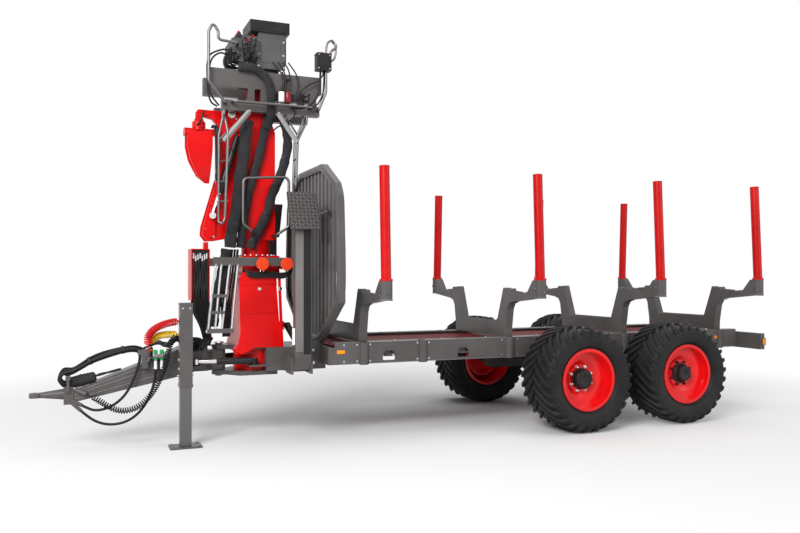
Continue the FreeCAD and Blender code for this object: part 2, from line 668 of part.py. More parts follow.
def front_frame():
    """The narrow frame ahead of the rails: box, leg beam and the yoke of the steering pivot."""
    head = box("neck_head", ("rail_front_x", "rail_front_x + 60"),
               ("-rail_outer_y", "rail_outer_y"), ("rail_bottom", "neck_top"))
    rear = box("neck_box", ("rail_front_x", "column_x - 40"), ("-neck_half", "neck_half"),
               ("neck_low", "neck_top"))
    beam = box("leg_beam", ("leg_x - leg_wide / 2", "leg_x + leg_wide / 2"),
               ("-leg_hinge_y + 85", "leg_hinge_y - 85"), ("650", "beam_top"))
    pieces = [head, rear, beam]
    for name, low in (("low", "yoke_low"), ("high", "yoke_high - plate_wall")):
        pieces.append(plate(f"yoke_{name}", "XY", [
            ("column_x - 160", "-240"),
            ("column_x + 190", "-240"),
            ("pivot_x - 60", "-105"),
            ("pivot_x + 30", "-62"),
            ("pivot_x + 62", "-25"),
            ("pivot_x + 62", "25"),
            ("pivot_x + 30", "62"),
            ("pivot_x - 60", "105"),
            ("column_x + 190", "240"),
            ("column_x - 160", "240"),
        ], "plate_wall", f"{low} + plate_wall / 2"))
    pins = [rod("pivot_pin_bar", "pivot_pin", "yoke_high - yoke_low + 30",
                ("pivot_x", "0", "yoke_low - 15"))]
    for side, sign in (("left", 1), ("right", -1)):
        pieces.append(box(f"steer_ear_{side}", ("column_x - 60", "steer_foot_x + 50"),
                          both_sides("200", "steer_foot_y + 34", sign),
                          ("steer_z - 54", "steer_z - 38")))
        pins.append(rod(f"steer_pin_{side}", "pin_radius", "steer_radius + 54",
                        ("steer_foot_x", f"{sign} * steer_foot_y", "steer_z - 54")))
        for name, x in (("a", "leg_x - leg_wide / 2"), ("b", "leg_x + leg_wide / 2 - 20")):
            pieces.append(box(f"leg_ear_{side}_{name}", (x, f"{x} + 20"),
                              both_sides("leg_hinge_y - 140", "leg_hinge_y + 45", sign),
                              ("640", "790")))
        pins.append(rod(f"leg_pin_{side}", "leg_pin", "leg_wide + 20",
                        ("leg_x - leg_wide / 2 - 10", f"{sign} * leg_hinge_y", "leg_hinge_z"),
                        "x"))
    body = cut("front_cut", fuse("front_body", pieces), doc.getObject("foot_shape"))
    keep(fuse("front_shape", [body] + pins), "front_frame")


def crane_foot():
    """The crane's red housing on its round lower bearing."""
    drum = rod("bearing_drum", "drum_outer", "foot_low - drum_low", ("column_x", "0", "drum_low"))
    housing = plate("foot_body", "XZ", [
        ("column_x - 185", "foot_low"),
        ("column_x + 60", "foot_low"),
        ("column_x + 190", "foot_low - 60"),
        ("column_x + 235", "foot_low - 20"),
        ("column_x + 215", "foot_low + 60"),
        ("column_x + 200", "foot_low + 140"),
        ("column_x + 212", "foot_high - 60"),
        ("column_x + 180", "foot_high"),
        ("column_x - 130", "foot_high"),
        ("column_x - 150", "foot_high - 250"),
    ], "2 * foot_half", "0")
    slew_box = box("slew_box", ("column_x - 195", "column_x + 160"), ("-170", "170"),
                   ("foot_high", "slew_top"))
    ribs = []
    for side, sign in (("left", 1), ("right", -1)):
        ribs.append(plate(f"foot_rib_{side}", "XZ", [
            ("column_x - 205", "foot_low"),
            ("column_x - 180", "foot_low"),
            ("column_x - 160", "foot_high - 250"),
            ("column_x - 150", "foot_high - 20"),
            ("column_x - 175", "foot_high - 20"),
        ], "16", f"{sign} * (foot_half + 8)"))
    bracket = box("leg_cylinder_bracket", ("leg_x + 42", "column_x - 155"),
                  ("-leg_foot_y - 36", "leg_foot_y + 36"), ("leg_foot_z - 38", "leg_foot_z + 38"))
    pins = []
    for side, sign in (("left", "1"), ("right", "-1")):
        pins.append(rod(f"leg_cylinder_pin_{side}", "pin_radius", "80",
                        ("leg_x - 28", f"{sign} * leg_foot_y", "leg_foot_z"), "x"))
    keep(fuse("foot_shape", [drum, housing, slew_box, bracket] + ribs + pins), "crane_foot")


def slew_gear():
    """Two cross cylinders that turn the mast, and the bars that carry ladder and cabinet."""
    pieces = []
    caps = []
    for name, x in (("a", "slew_a_x"), ("b", "slew_b_x")):
        for side, sign in (("left", 1), ("right", -1)):
            start = "170" if sign > 0 else "-slew_cylinder_reach"
            pieces.append(rod(f"slew_barrel_{name}_{side}", "slew_cylinder_radius",
                              "slew_cylinder_reach - 170",
                              (x, start, "slew_cylinder_z"), "y"))
            cap = "slew_cylinder_reach - 26" if sign > 0 else "-slew_cylinder_reach"
            pieces.append(rod(f"slew_cap_{name}_{side}", "slew_cylinder_radius + 7", "26",
                              (x, cap, "slew_cylinder_z"), "y"))
    for side, sign in (("left", 1), ("right", -1)):
        span = ("262", "292") if sign > 0 else ("-292", "-262")
        pieces.append(box(f"carrier_bar_{side}", ("1525", "2282"), span, ("1622", "1700")))
    pieces.append(box("carrier_tie", ("2244", "2282"), ("-292", "292"), ("1622", "1690")))
    pieces.append(lower_ladder())
    slewing = fuse("slew_body", pieces)
    keep(cut("slew_shape", slewing, doc.getObject("foot_shape")), "slew_gear")


def cabinet():
    """Open-sided hose cabinet ahead of the mast, with a rest pad for the folded boom."""
    shell = box("cabinet_shell", ("2286", "2455"), ("-110", "110"), ("1300", "1780"))
    room = box("cabinet_room", ("2294", "2447"), ("-130", "130"), ("1290", "1772"))
    pad = box("rest_pad", ("2290", "2330"), ("-40", "40"), ("1776", "1845"))
    hoses = box("cabinet_core", ("2320", "2420"), ("-70", "70"), ("1330", "1776"))
    link = box("cabinet_link", ("2282", "2290"), ("-100", "100"), ("1626", "1686"))
    keep(fuse("cabinet_shape", [cut("cabinet_frame", shell, room), pad, hoses, link]),
         "hose_cabinet")


def lower_ladder():
    """Two steps hung in front of the foot on four thin bars."""
    y = 277
    bars = []
    runs = (((2262, 1630), (2330, 1020)), ((2210, 1630), (2265, 1030)),
            ((2135, 1630), (2205, 1020)), ((2060, 1630), (2115, 1040)))
    for (top_x, top_z), (foot_x, foot_z) in runs:
        top = V(top_x, y, top_z)
        line = V(foot_x, y, foot_z) - top
        bars.append(Part.makeCylinder(10, line.Length, top, line))
    steps = [Part.makeBox(130, 40, 30, V(2165, y - 20, 1330)),
             Part.makeBox(130, 30, 26, V(2178, y - 15, 1180)),
             Part.makeBox(240, 50, 40, V(2098, y - 25, 1005))]
    return feature("lower_ladder_shape", bars[0].fuse(bars[1:] + steps).removeSplitter())


# ---------------------------------------------------------------- drawbar
def drawbar():
    """A tapered box from the steering pivot to the eye's flange."""
    side = plate("drawbar_side", "XZ", [
        ("pivot_x - 56", "yoke_low + plate_wall + 6"),
        ("pivot_x + 120", "yoke_low + plate_wall + 6"),
        ("pivot_x + 240", "645"),
        ("pivot_x + 410", "600"),
        ("bar_front_x", "eye_z - 68"),
        ("bar_front_x", "eye_z + 33"),
        ("pivot_x + 410", "845"),
        ("pivot_x + 240", "925"),
        ("pivot_x + 120", "925"),
        ("pivot_x + 120", "yoke_high - plate_wall - 6"),
        ("pivot_x - 56", "yoke_high - plate_wall - 6"),
    ], "260", "0")
    plan = plate("drawbar_plan", "XY", [
        ("pivot_x - 56", "-40"),
        ("pivot_x - 30", "-56"),
        ("pivot_x + 70", "-56"),
        ("pivot_x + 130", "-120"),
        ("pivot_x + 410", "-120"),
        ("bar_front_x", "-72"),
        ("bar_front_x", "72"),
        ("pivot_x + 410", "120"),
        ("pivot_x + 130", "120"),
        ("pivot_x + 70", "56"),
        ("pivot_x - 30", "56"),
        ("pivot_x - 56", "40"),
    ], "1000", "700")
    bore = rod("pivot_bore", "pivot_pin + running_gap", "500", ("pivot_x", "0", "500"))
    lugs = []
    for side_name, sign in (("left", 1), ("right", -1)):
        span = ("100", "steer_eye_y + 38") if sign > 0 else ("-steer_eye_y - 38", "-100")
        lugs.append(box(f"steer_lug_{side_name}", ("steer_eye_x - 42", "steer_eye_x + 42"), span,
                        ("steer_z - 54", "steer_z - 39")))
    bar = cut("drawbar_bored", common("drawbar_box", side, plan), bore)
    fittings = [fitting("lead_plug", ROUTES["electric_coil"], 21, 110),
                fitting("hose_end_1", ROUTES["hose_loop_1"], 16, 100),
                fitting("hose_end_2", ROUTES["hose_loop_2"], 16, 110)]
    pieces = [bar, drawbar_eye(), jack_sleeve()] + clips() + lugs + fittings
    keep(fuse("drawbar_shape", pieces), "drawbar")


def drawbar_eye():
    """The forged towing eye on its bolted flange."""
    flange = box("eye_flange", ("bar_front_x", "flange_x"), ("-78", "78"),
                 ("eye_z - 84", "eye_z + 69"))
    shank = doc.addObject("Part::Cone", "eye_shank")
    shank.Placement = FreeCAD.Placement(V(), TURN["x"])
    bind(shank, "Radius1", "48")
    bind(shank, "Radius2", "24")
    bind(shank, "Height", "eye_x - flange_x - eye_outer + 12")
    place_at(shank, ("flange_x", "0", "eye_z"))
    ring_body = rod("eye_ring", "eye_outer", "eye_thick", ("eye_x", "0", "eye_z - eye_thick / 2"))
    bore = rod("eye_hole", "eye_bore", "eye_thick * 3", ("eye_x", "0", "eye_z - 1.5 * eye_thick"))
    return cut("eye_shape", fuse("eye_body", [flange, shank, ring_body]), bore)


def jack_sleeve():
    """The parking jack's square sleeve on the drawbar's side."""
    half = "jack_tube / 2"
    sleeve = box("jack_sleeve_body", (f"jack_x - {half}", f"jack_x + {half}"),
                 (f"jack_y - {half}", f"jack_y + {half}"), ("jack_low", "jack_high"))
    room = box("jack_sleeve_room",
               (f"jack_x - {half} + jack_wall", f"jack_x + {half} - jack_wall"),
               (f"jack_y - {half} + jack_wall", f"jack_y + {half} - jack_wall"),
               ("jack_low - 10", "jack_high - 12"))
    arm = box("jack_arm", ("jack_x - 50", "jack_x + 50"), ("110", f"jack_y - {half} + 3"),
              ("660", "800"))
    return fuse("jack_sleeve_shape", [cut("jack_tube_cut", sleeve, room), arm])


def clips():
    """The two cord brackets on the jack's sleeve."""
    pieces = []
    for name, low, z in (("high", "100", "1112"), ("low", "56", "990")):
        pieces.append(box(f"cord_bracket_{name}", ("jack_x - 10", "jack_x + 14"),
                          (low, "jack_y - jack_tube / 2 + 3"), (f"{z} - 30", f"{z} + 30")))
    return pieces


def fitting(name, route, radius, length):
    """The round fitting that a cord ends in, in line with the cord's last run."""
    before = V(*route[-2])
    end = V(*route[-1])
    return feature(name, Part.makeCylinder(radius, length, end, end - before))


def jack_leg():
    """The jack's sliding leg and its foot."""
    leg_half = "(jack_tube / 2 - jack_wall - running_gap)"
    leg = box("jack_leg_bar", (f"jack_x - {leg_half}", f"jack_x + {leg_half}"),
              (f"jack_y - {leg_half}", f"jack_y + {leg_half}"), ("jack_foot", "jack_leg_top"))
    foot = plate("jack_foot_plate", "XY", [
        ("jack_x - 140", "jack_y - 100"), ("jack_x + 140", "jack_y - 100"),
        ("jack_x + 140", "jack_y + 100"), ("jack_x - 140", "jack_y + 100"),
    ], "jack_foot", "jack_foot / 2", "18")
    keep(fuse("jack_leg_shape", [leg, foot]), "jack_leg")


def coupling_rack():
    """The shelf on the drawbar's side that parks the hose couplings and the coils' plugs."""
    shelf = box("rack_shelf", ("2690", "2862"), ("95", "190"), ("rack_z - 8", "rack_z"))
    pieces = [shelf]
    for index, x in enumerate(("2720", "2773")):
        for row, y in enumerate(("134", "174")):
            pieces.append(rod(f"rack_cap_{index}{row}", "14", "60", (x, y, "rack_z - 1")))
            pieces.append(rod(f"rack_tube_{index}{row}", "11", "105", (x, y, "rack_z - 110")))
    pieces.append(rod("red_plug", "17", "78", ("2833", "150", "rack_z - 1")))
    pieces.append(rod("yellow_plug", "16", "150", ("2805", "88", "rack_z - 70")))
    pieces.append(box("sleeve_saddle", ("2840", "2892"), ("14", "175"), ("700", "862")))
    pieces.append(box("hose_tab", ("2890", "2925"), ("125", "175"), ("820", "862")))
    whole = fuse("rack_shape", pieces)
    keep(cut("rack_cut", whole, doc.getObject("drawbar_box")), "coupling_rack")


# ---------------------------------------------------------------- mast and its top
def mast():
    """The turning mast: round shaft, box column, pivot ears and round head."""
    shaft = rod("mast_shaft_bar", "mast_shaft", "mast_low - slew_top",
                ("column_x", "0", "slew_top"))
    column = plate("mast_box", "XZ", [
        ("mast_back_x", "mast_low"),
        ("mast_front_x", "mast_low"),
        ("mast_front_x", "mast_high - 40"),
        ("boom_pivot_x - 82", "mast_high - 40"),
        ("boom_pivot_x - 125", "mast_high + 150"),
        ("column_x + 60", "mast_high + 190"),
        ("column_x - 90", "mast_high + 190"),
        ("mast_back_x", "mast_high"),
    ], "2 * mast_half", "0", "20")
    head = rod("mast_head", "head_radius", "head_top - mast_high", ("column_x", "0", "mast_high"))
    flat = box("head_flat", ("column_x + 90", "column_x + 300"), ("-300", "300"),
               ("mast_high + 160", "head_top + 10"))
    ears = []
    for side, sign in (("left", 1), ("right", -1)):
        ears.append(plate(f"boom_ear_{side}", "XZ", [
            ("column_x + 60", "mast_high - 120"),
            ("mast_front_x + 10", "mast_high - 56"),
            ("boom_pivot_x + 52", "boom_pivot_z - 45"),
            ("boom_pivot_x + 62", "boom_pivot_z + 20"),
            ("boom_pivot_x + 20", "boom_pivot_z + 66"),
            ("boom_pivot_x - 60", "boom_pivot_z + 60"),
            ("column_x + 60", "mast_high + 180"),
        ], "24", f"{sign} * (cheek_y + cheek_wall + side_gap + 13)"))
    slot = box("boom_slot", ("boom_pivot_x - 122", "boom_pivot_x + 200"),
               ("-cheek_y - cheek_wall - side_gap", "cheek_y + cheek_wall + side_gap"),
               ("mast_high - 200", "boom_pivot_z + 400"))
    pin = rod("boom_pin_bar", "boom_pin", "2 * (cheek_y + cheek_wall + side_gap + 25)",
              ("boom_pivot_x", "-(cheek_y + cheek_wall + side_gap + 25)", "boom_pivot_z"), "y")
    boss = rod("lift_boss", "34", "20", ("lift_foot_x", "-mast_half - 10", "lift_foot_z"), "y")
    foot_pin = rod("lift_foot_pin", "pin_radius", "-lift_y - mast_half + 40",
                   ("lift_foot_x", "lift_y - 30", "lift_foot_z"), "y")
    body = cut("mast_cut", fuse("mast_body", [shaft, column, head] + ears),
               fuse("mast_tools", [flat, slot]))
    keep(fuse("mast_shape", [body, pin, boss, foot_pin]), "mast")


def top_frame():
    """Two long beams beside the mast head, the trays under them and the cross plates."""
    pieces = []
    for side, sign in (("left", 1), ("right", -1)):
        y_low = "beam_y - beam_half" if sign > 0 else "-beam_y - beam_half"
        y_high = "beam_y + beam_half" if sign > 0 else "-beam_y + beam_half"
        span = (y_low, y_high)
        pieces.append(box(f"long_beam_{side}", ("1249", "2308"), span, ("beam_low", "beam_high")))
        pieces.append(box(f"tray_{side}", ("1268", "2201"), span, ("tray_low", "tray_high")))
        for name, x in (("a", "1300"), ("b", "1780"), ("c", "1900")):
            pieces.append(box(f"post_{side}_{name}", (x, f"{x} + 60"), span,
                              ("tray_high - 5", "beam_low + 5")))
    cross = ("-beam_y", "beam_y")
    pieces.append(box("cross_front", ("1740", "1900"), cross, ("head_top", "beam_high")))
    pieces.append(box("cross_rear", ("1249", "1330"), cross, ("beam_low + 20", "beam_high - 20")))
    pieces.append(box("cross_tray", ("1480", "1560"), cross, ("tray_low + 10", "tray_high - 10")))
    pieces.append(box("pedestal", ("1640", "1830"), ("-100", "100"),
                      ("beam_high - 5", "housing_low")))
    pieces.append(box("pedestal_foot", ("1640", "1905"), ("-130", "130"),
                      ("head_top", "beam_high")))
    keep(cut("top_shape", fuse("top_body", pieces), doc.getObject("mast_shape")), "top_frame")


def valve_gear():
    """The bolted box over the mast head, with its ribbed cover."""
    body = plate("housing_body", "XZ", [
        ("1575", "housing_low"), ("1845", "housing_low"), ("1845", "housing_high"),
        ("1575", "housing_high"),
    ], "320", "0", "14")
    cover = plate("housing_cover", "XZ", [
        ("1548", "housing_high"), ("1925", "housing_high"), ("1925", "cover_top - 45"),
        ("1900", "cover_top"), ("1565", "cover_top"), ("1548", "cover_top - 30"),
    ], "360", "0", "12")
    bank = box("bank_body", ("1845", "2010"), ("-200", "200"), ("3600", "3790"))
    outlets = []
    for index in range(6):
        y = f"-165 + {index} * 66"
        outlets.append(box(f"spool_{index}", ("2010", "2100"), (f"{y} - 22", f"{y} + 22"),
                           ("3625", "3760")))
    keep(fuse("housing_shape", [body, cover, bank] + outlets), "valve_gear")


def hand_rails():
    """The bent grab rails around the high seat, with the control box on the rear one."""
    thick = size("handle_radius")
    front = bent_tube([(2180, 250, 3120), (2180, 292, 3120), (2332, 300, 3307),
                       (2332, 300, 3758), (2294, 300, 3844), (2246, 300, 3767),
                       (2246, 300, 3691), (2060, 300, 3680), (2060, 187, 3680)], thick, 45)
    rear = bent_tube([(1290, 250, 3120), (1290, 296, 3120), (1218, 300, 3300),
                      (1218, 300, 3600), (1170, 320, 3700), (1113, 330, 3740),
                      (1161, 300, 3806)], thick, 40)
    guard = bent_tube([(2110, 250, 3134), (2110, 330, 3134), (1360, 330, 3134),
                       (1360, 250, 3134)], thick, 30)
    control = box("control_body", ("1180", "1320"), ("262", "352"), ("3499", "3662"))
    button = rod("control_button", "20", "22", ("1262", "305", "3655"))
    rear_rail = fuse("rail_rear", [feature("rail_rear_bar", rear), control, button])
    keep(group("rails_shape", [feature("rail_front_bar", front), rear_rail,
                               feature("rail_guard", guard)]), "hand_rails")


def strut(start, end, radius):
    """A round bar between two points."""
    start = V(*start)
    line = V(*end) - start
    return Part.makeCylinder(radius, line.Length, start, line)


def upper_ladders():
    """The steps that hang from the trays ahead of and behind the mast, and the mast's bow."""
    thick = 12
    top = size("tray_low")
    front = bent_tube([(2188, 200, top), (2188, 200, 2990), (2222, 200, 2830),
                       (2222, 200, 2030), (2205, 330, 2000), (2186, 330, 2060),
                       (2160, 330, 2829), (2180, 300, 2960), (2180, 236, 3020),
                       (2180, 236, top)], thick, 36)
    rungs = [strut((2218, 200, z), (2168, 330, z), size("rung_radius"))
             for z in (2770, 2585, 2400, 2215)]
    brace = strut((1950, 205, top), (2221, 200, 2790), size("rung_radius"))
    front = front.fuse(rungs + [brace]).removeSplitter()
    rear = bent_tube([(1391, 240, top), (1391, 240, 3020), (1497, 300, 2817),
                      (1516, 300, 2346), (1516, 200, 2346), (1497, 190, 2817),
                      (1420, 190, 3010), (1420, 190, top)], thick, 40)
    rear_rungs = [strut((1504, 194, z), (1504, 300, z), size("rung_radius"))
                  for z in (2480, 2640)]
    rear_brace = strut((1600, 205, top), (1470, 190, 2885), size("rung_radius"))
    rear = rear.fuse(rear_rungs + [rear_brace]).removeSplitter()
    side = size("mast_half")
    bow = bent_tube([(1905, side, 1930), (1905, 290, 1930), (2015, 300, 2010),
                     (2015, 300, 2433), (1583, 300, 2462), (1583, 300, 1990),
                     (1705, 290, 1910), (1705, side, 1910)], size("handle_radius"), 50)
    steps = group("ladder_body", [feature("front_ladder", front), feature("rear_ladder", rear),
                                  feature("mast_bow", bow)])
    keep(cut("ladder_shape", steps, doc.getObject("top_shape")), "mast_ladders")


def hose_sleeves():
    """Flat sleeves of hoses down the mast's left side."""
    bands = [
        plate("sleeve_1", "XZ", [("1900", "2880"), ("1984", "2880"), ("2150", "1900"),
                                 ("2075", "1880")], "24", "mast_half + 12"),
        plate("sleeve_2", "XZ", [("1750", "2900"), ("1830", "2900"), ("1890", "2500"),
                                 ("2010", "1895"), ("1935", "1875"), ("1812", "2480")],
              "20", "mast_half + 10"),
    ]
    keep(group("sleeves_shape", bands), "hose_sleeves")


# ---------------------------------------------------------------- booms
def main_boom():
    """Two cheeks joined by webs; the stick folds between them."""
    cheek_outline = [
        ("boom_pivot_x - 95", "boom_pivot_z - 90"),
        ("boom_pivot_x - 70", "boom_pivot_z + 40"),
        ("boom_pivot_x - 30", "boom_pivot_z + 72"),
        ("boom_pivot_x + 30", "boom_pivot_z + 72"),
        ("boom_pivot_x + 62", "boom_pivot_z + 20"),
        ("stick_back_x - 8", "boom_pivot_z - 110"),
        ("stick_back_x - 8", "2620"),
        ("2218", "2440"),
        ("knuckle_x + 62", "knuckle_z + 60"),
        ("knuckle_x + 68", "knuckle_z - 20"),
        ("knuckle_x + 25", "knuckle_z - 75"),
        ("knuckle_x - 60", "knuckle_z - 70"),
        ("knuckle_x - 215", "knuckle_z - 40"),
    ]
    cheeks = []
    for side, sign in (("left", 1), ("right", -1)):
        cheeks.append(plate(f"cheek_{side}", "XZ", cheek_outline, "cheek_wall",
                            f"{sign} * (cheek_y + cheek_wall / 2)"))
    back = plate("boom_back", "XZ", [
        ("boom_pivot_x - 95", "boom_pivot_z - 90"),
        ("boom_pivot_x - 78", "boom_pivot_z - 90"),
        ("knuckle_x - 198", "knuckle_z - 40"),
        ("knuckle_x - 215", "knuckle_z - 40"),
    ], "2 * cheek_y + 2", "0")
    front = box("boom_front", ("stick_back_x - 22", "stick_back_x - 8"),
                ("-cheek_y - 1", "cheek_y + 1"), ("2620", "boom_pivot_z - 130"))
    tube = rod("boom_tube_bar", "boom_tube", "2 * (cheek_y + cheek_wall)",
               ("boom_pivot_x", "-(cheek_y + cheek_wall)", "boom_pivot_z"), "y")
    bore = rod("boom_bore", "boom_pin + running_gap", "400",
               ("boom_pivot_x", "-200", "boom_pivot_z"), "y")
    knuckle_bore = rod("knuckle_bore", "boom_pin + running_gap", "400",
                       ("knuckle_x", "-200", "knuckle_z"), "y")
    lift_boss = rod("lift_eye_boss", "30", "53", ("lift_eye_x", "-(cheek_y + cheek_wall + 53)",
                                                  "lift_eye_z"), "y")
    fold_boss = rod("fold_foot_boss", "30", "16",
                    ("fold_foot_x", "cheek_y + cheek_wall - 1", "fold_foot_z"), "y")
    fold_pin = rod("fold_foot_pin", "pin_radius", "fold_y + 28 - cheek_y",
                   ("fold_foot_x", "cheek_y", "fold_foot_z"), "y")
    body = fuse("boom_body", cheeks + [back, front, tube, lift_boss, fold_boss, fold_pin])
    keep(cut("boom_shape", body, fuse("boom_bores", [bore, knuckle_bore])), "main_boom")


def stick():
    """The folding outer boom: a square tube, its forged root and the crank on its pin."""
    front = "stick_back_x + stick_deep"
    tube = box("stick_tube", ("stick_back_x", front), ("-stick_half", "stick_half"),
               ("stick_low", "stick_high"))
    room = box("stick_room", ("stick_back_x + stick_wall", f"{front} - stick_wall"),
               ("-stick_half + stick_wall", "stick_half - stick_wall"),
               ("stick_low - 10", "stick_high + 10"))
    root = plate("stick_root", "XZ", [
        ("stick_back_x", "stick_low"),
        ("stick_back_x", "knuckle_z - 30"),
        ("knuckle_x - 50", "knuckle_z - 52"),
        ("knuckle_x + 20", "knuckle_z - 58"),
        ("knuckle_x + 58", "knuckle_z"),
        ("knuckle_x + 20", "knuckle_z + 58"),
        (front, "stick_low + 40"),
        (front, "stick_low"),
    ], "2 * stick_half", "0")
    pin = rod("knuckle_pin", "boom_pin", "2 * cheek_y + 2 * cheek_wall + 40",
              ("knuckle_x", "-(cheek_y + cheek_wall + 20)", "knuckle_z"), "y")
    crank = plate("fold_crank", "XZ", [
        ("knuckle_x - 48", "knuckle_z - 14"),
        ("knuckle_x", "knuckle_z - 48"),
        ("knuckle_x + 48", "knuckle_z - 10"),
        ("fold_eye_x + 34", "fold_eye_z + 6"),
        ("fold_eye_x", "fold_eye_z + 34"),
        ("fold_eye_x - 34", "fold_eye_z + 6"),
    ], "eye_plate", "cheek_y + cheek_wall + side_gap + eye_plate / 2")
    body = fuse("stick_body", [cut("stick_hollow", tube, room), root, pin, crank])
    keep(body, "stick_boom")


def extension():
    """The sliding end of the stick, with its nose over the grapple."""
    gap = "stick_wall + inner_gap"
    bar = box("extension_bar", (f"stick_back_x + {gap}", f"stick_back_x + stick_deep - ({gap})"),
              (f"-stick_half + {gap}", f"stick_half - ({gap})"), ("stick_low + 10", "stick_high + 30"))
    nose = plate("extension_nose", "XZ", [
        ("stick_back_x + 8", "stick_high + 12"),
        ("stick_back_x + stick_deep - 2", "stick_high + 12"),
        ("stick_back_x + stick_deep + 40", "stick_high + 60"),
        ("tip_x + 10", "tip_z - 30"),
        ("tip_x + 32", "tip_z"),
        ("tip_x + 10", "tip_z + 30"),
        ("stick_back_x + 40", "tip_z + 28"),
        ("stick_back_x + 8", "stick_high + 80"),
    ], "44", "0")
    snug = "stick_wall + running_gap"
    pad = box("extension_pad", (f"stick_back_x + {snug}", f"stick_back_x + stick_deep - ({snug})"),
              (f"-stick_half + {snug}", f"stick_half - ({snug})"),
              ("stick_low + 16", "stick_low + 16 + pad_long"))
    bore = rod("tip_bore", "15 + running_gap", "100", ("tip_x", "-50", "tip_z"), "y")
    keep(cut("extension_shape", fuse("extension_body", [bar, nose, pad]), bore), "boom_extension")


def tip_link():
    """The swinging link and the rotator's fixed half."""
    plates = []
    for side, sign in (("left", 1), ("right", -1)):
        plates.append(plate(f"link_plate_{side}", "XZ", [
            ("tip_x - 26", "tip_z + 8"),
            ("tip_x", "tip_z + 26"),
            ("tip_x + 26", "tip_z + 8"),
            ("tip_x + 30", "tip_z - 78"),
            ("tip_x - 30", "tip_z - 78"),
        ], "12", f"{sign} * 33"))
    pin = rod("tip_pin", "15", "78", ("tip_x", "-39", "tip_z"), "y")
    block = box("link_block", ("tip_x - 40", "tip_x + 40"), ("-45", "45"),
                ("tip_z - 92", "tip_z - 64"))
    stator = rod("rotator_top", "62", "56", ("tip_x", "0", "tip_z - 145"))
    keep(fuse("link_shape", plates + [pin, block, stator]), "tip_link")


def grapple_head():
    """The turning head with the two jaw pins."""
    disc = rod("head_disc", "56", "20", ("tip_x", "0", "head_z + 5"))
    bar = box("head_bar", ("tip_x - 136", "tip_x + 136"), ("-40", "40"),
              ("head_z + 1", "head_z + 17"))
    pieces = [disc, bar]
    for end, low, high in (("front", "tip_x + 122", "tip_x + 136"),
                           ("rear", "tip_x - 136", "tip_x - 122")):
        pieces.append(plate(f"head_lug_{end}", "YZ", [
            ("-jaw_pin_y - 14", "jaw_pin_z - 22"),
            ("jaw_pin_y + 14", "jaw_pin_z - 22"),
            ("jaw_pin_y + 4", "head_z + 10"),
            ("-jaw_pin_y - 4", "head_z + 10"),
        ], f"{high} - ({low})", f"({low} + {high}) / 2"))
    for side, sign in (("left", 1), ("right", -1)):
        pieces.append(rod(f"jaw_pin_{side}", "jaw_pin", "264",
                          ("tip_x - 132", f"{sign} * jaw_pin_y", "jaw_pin_z"), "x"))
    keep(fuse("head_shape", pieces), "grapple_head")


def jaw(side):
    """One bent jaw, tapering to its tine."""
    sign = "1" if side == "left" else "-1"
    shell = plate(f"jaw_shell_{side}", "YZ", [
        (f"{sign} * 36", "jaw_pin_z - 16"),
        (f"{sign} * 40", "jaw_pin_z + 14"),
        (f"{sign} * 55", "jaw_pin_z + 22"),
        (f"{sign} * 74", "jaw_pin_z + 12"),
        (f"{sign} * 88", "jaw_pin_z - 60"),
        (f"{sign} * 90", "jaw_pin_z - 190"),
        (f"{sign} * 72", "jaw_pin_z - 320"),
        (f"{sign} * 38", "jaw_pin_z - 410"),
        (f"{sign} * 4", "jaw_pin_z - 466"),
        (f"{sign} * 4", "jaw_pin_z - 440"),
        (f"{sign} * 26", "jaw_pin_z - 400"),
        (f"{sign} * 54", "jaw_pin_z - 314"),
        (f"{sign} * 70", "jaw_pin_z - 188"),
        (f"{sign} * 68", "jaw_pin_z - 80"),
        (f"{sign} * 56", "jaw_pin_z - 34"),
    ], "300", "tip_x")
    outline = plate(f"jaw_outline_{side}", "XZ", [
        ("tip_x - 60", "jaw_pin_z - 470"),
        ("tip_x + 20", "jaw_pin_z - 400"),
        ("tip_x + 90", "jaw_pin_z - 250"),
        ("tip_x + jaw_half", "jaw_pin_z - 120"),
        ("tip_x + jaw_half", "jaw_pin_z + 30"),
        ("tip_x - jaw_half", "jaw_pin_z + 30"),
        ("tip_x - jaw_half", "jaw_pin_z - 120"),
        ("tip_x - 104", "jaw_pin_z - 330"),
        ("tip_x - 96", "jaw_pin_z - 470"),
    ], "400", "0")
    bore = rod(f"jaw_bore_{side}", "jaw_pin + running_gap", "400",
               ("tip_x - 200", f"{sign} * jaw_pin_y", "jaw_pin_z"), "x")
    keep(cut(f"jaw_shape_{side}", common(f"jaw_body_{side}", shell, outline), bore),
         f"jaw_{side}")


# ---------------------------------------------------------------- cylinders
def cylinder(name, foot, eye, radius, rod_radius, across, share, rod_from):
    """Barrel with a bored foot eye, and rod with its own eye, on the line between two pins.

    share is the barrel's part of the closed length, and rod_from where the rod starts in it.
    """
    foot = V(*foot)
    eye = V(*eye)
    line = eye - foot
    length = line.Length
    ahead = V(line).normalize()
    across = V(*across)
    width = 1.44 * radius
    eye_radius = 0.95 * radius
    hole = size("pin_radius") + size("running_gap")
    start = foot + ahead * (0.6 * eye_radius)
    barrel = Part.makeCylinder(radius, length * share - 0.6 * eye_radius, start, ahead)
    room = Part.makeCylinder(rod_radius + 1, length, start + ahead * (0.9 * radius), ahead)
    foot_eye = Part.makeCylinder(eye_radius, width, foot - across * (width / 2), across)
    bore = Part.makeCylinder(hole, 2 * width, foot - across * width, across)
    rod_start = foot + ahead * rod_from
    bar = Part.makeCylinder(rod_radius, (eye - rod_start).Length - 2, rod_start, ahead)
    rod_eye = Part.makeCylinder(eye_radius, width, eye - across * (width / 2), across)
    shell = barrel.cut(room).fuse(foot_eye).cut(bore).removeSplitter()
    keep(feature(name + "_barrel_shape", shell), name + "_barrel")
    keep(feature(name + "_rod_shape", bar.fuse(rod_eye).removeSplitter()), name + "_rod")


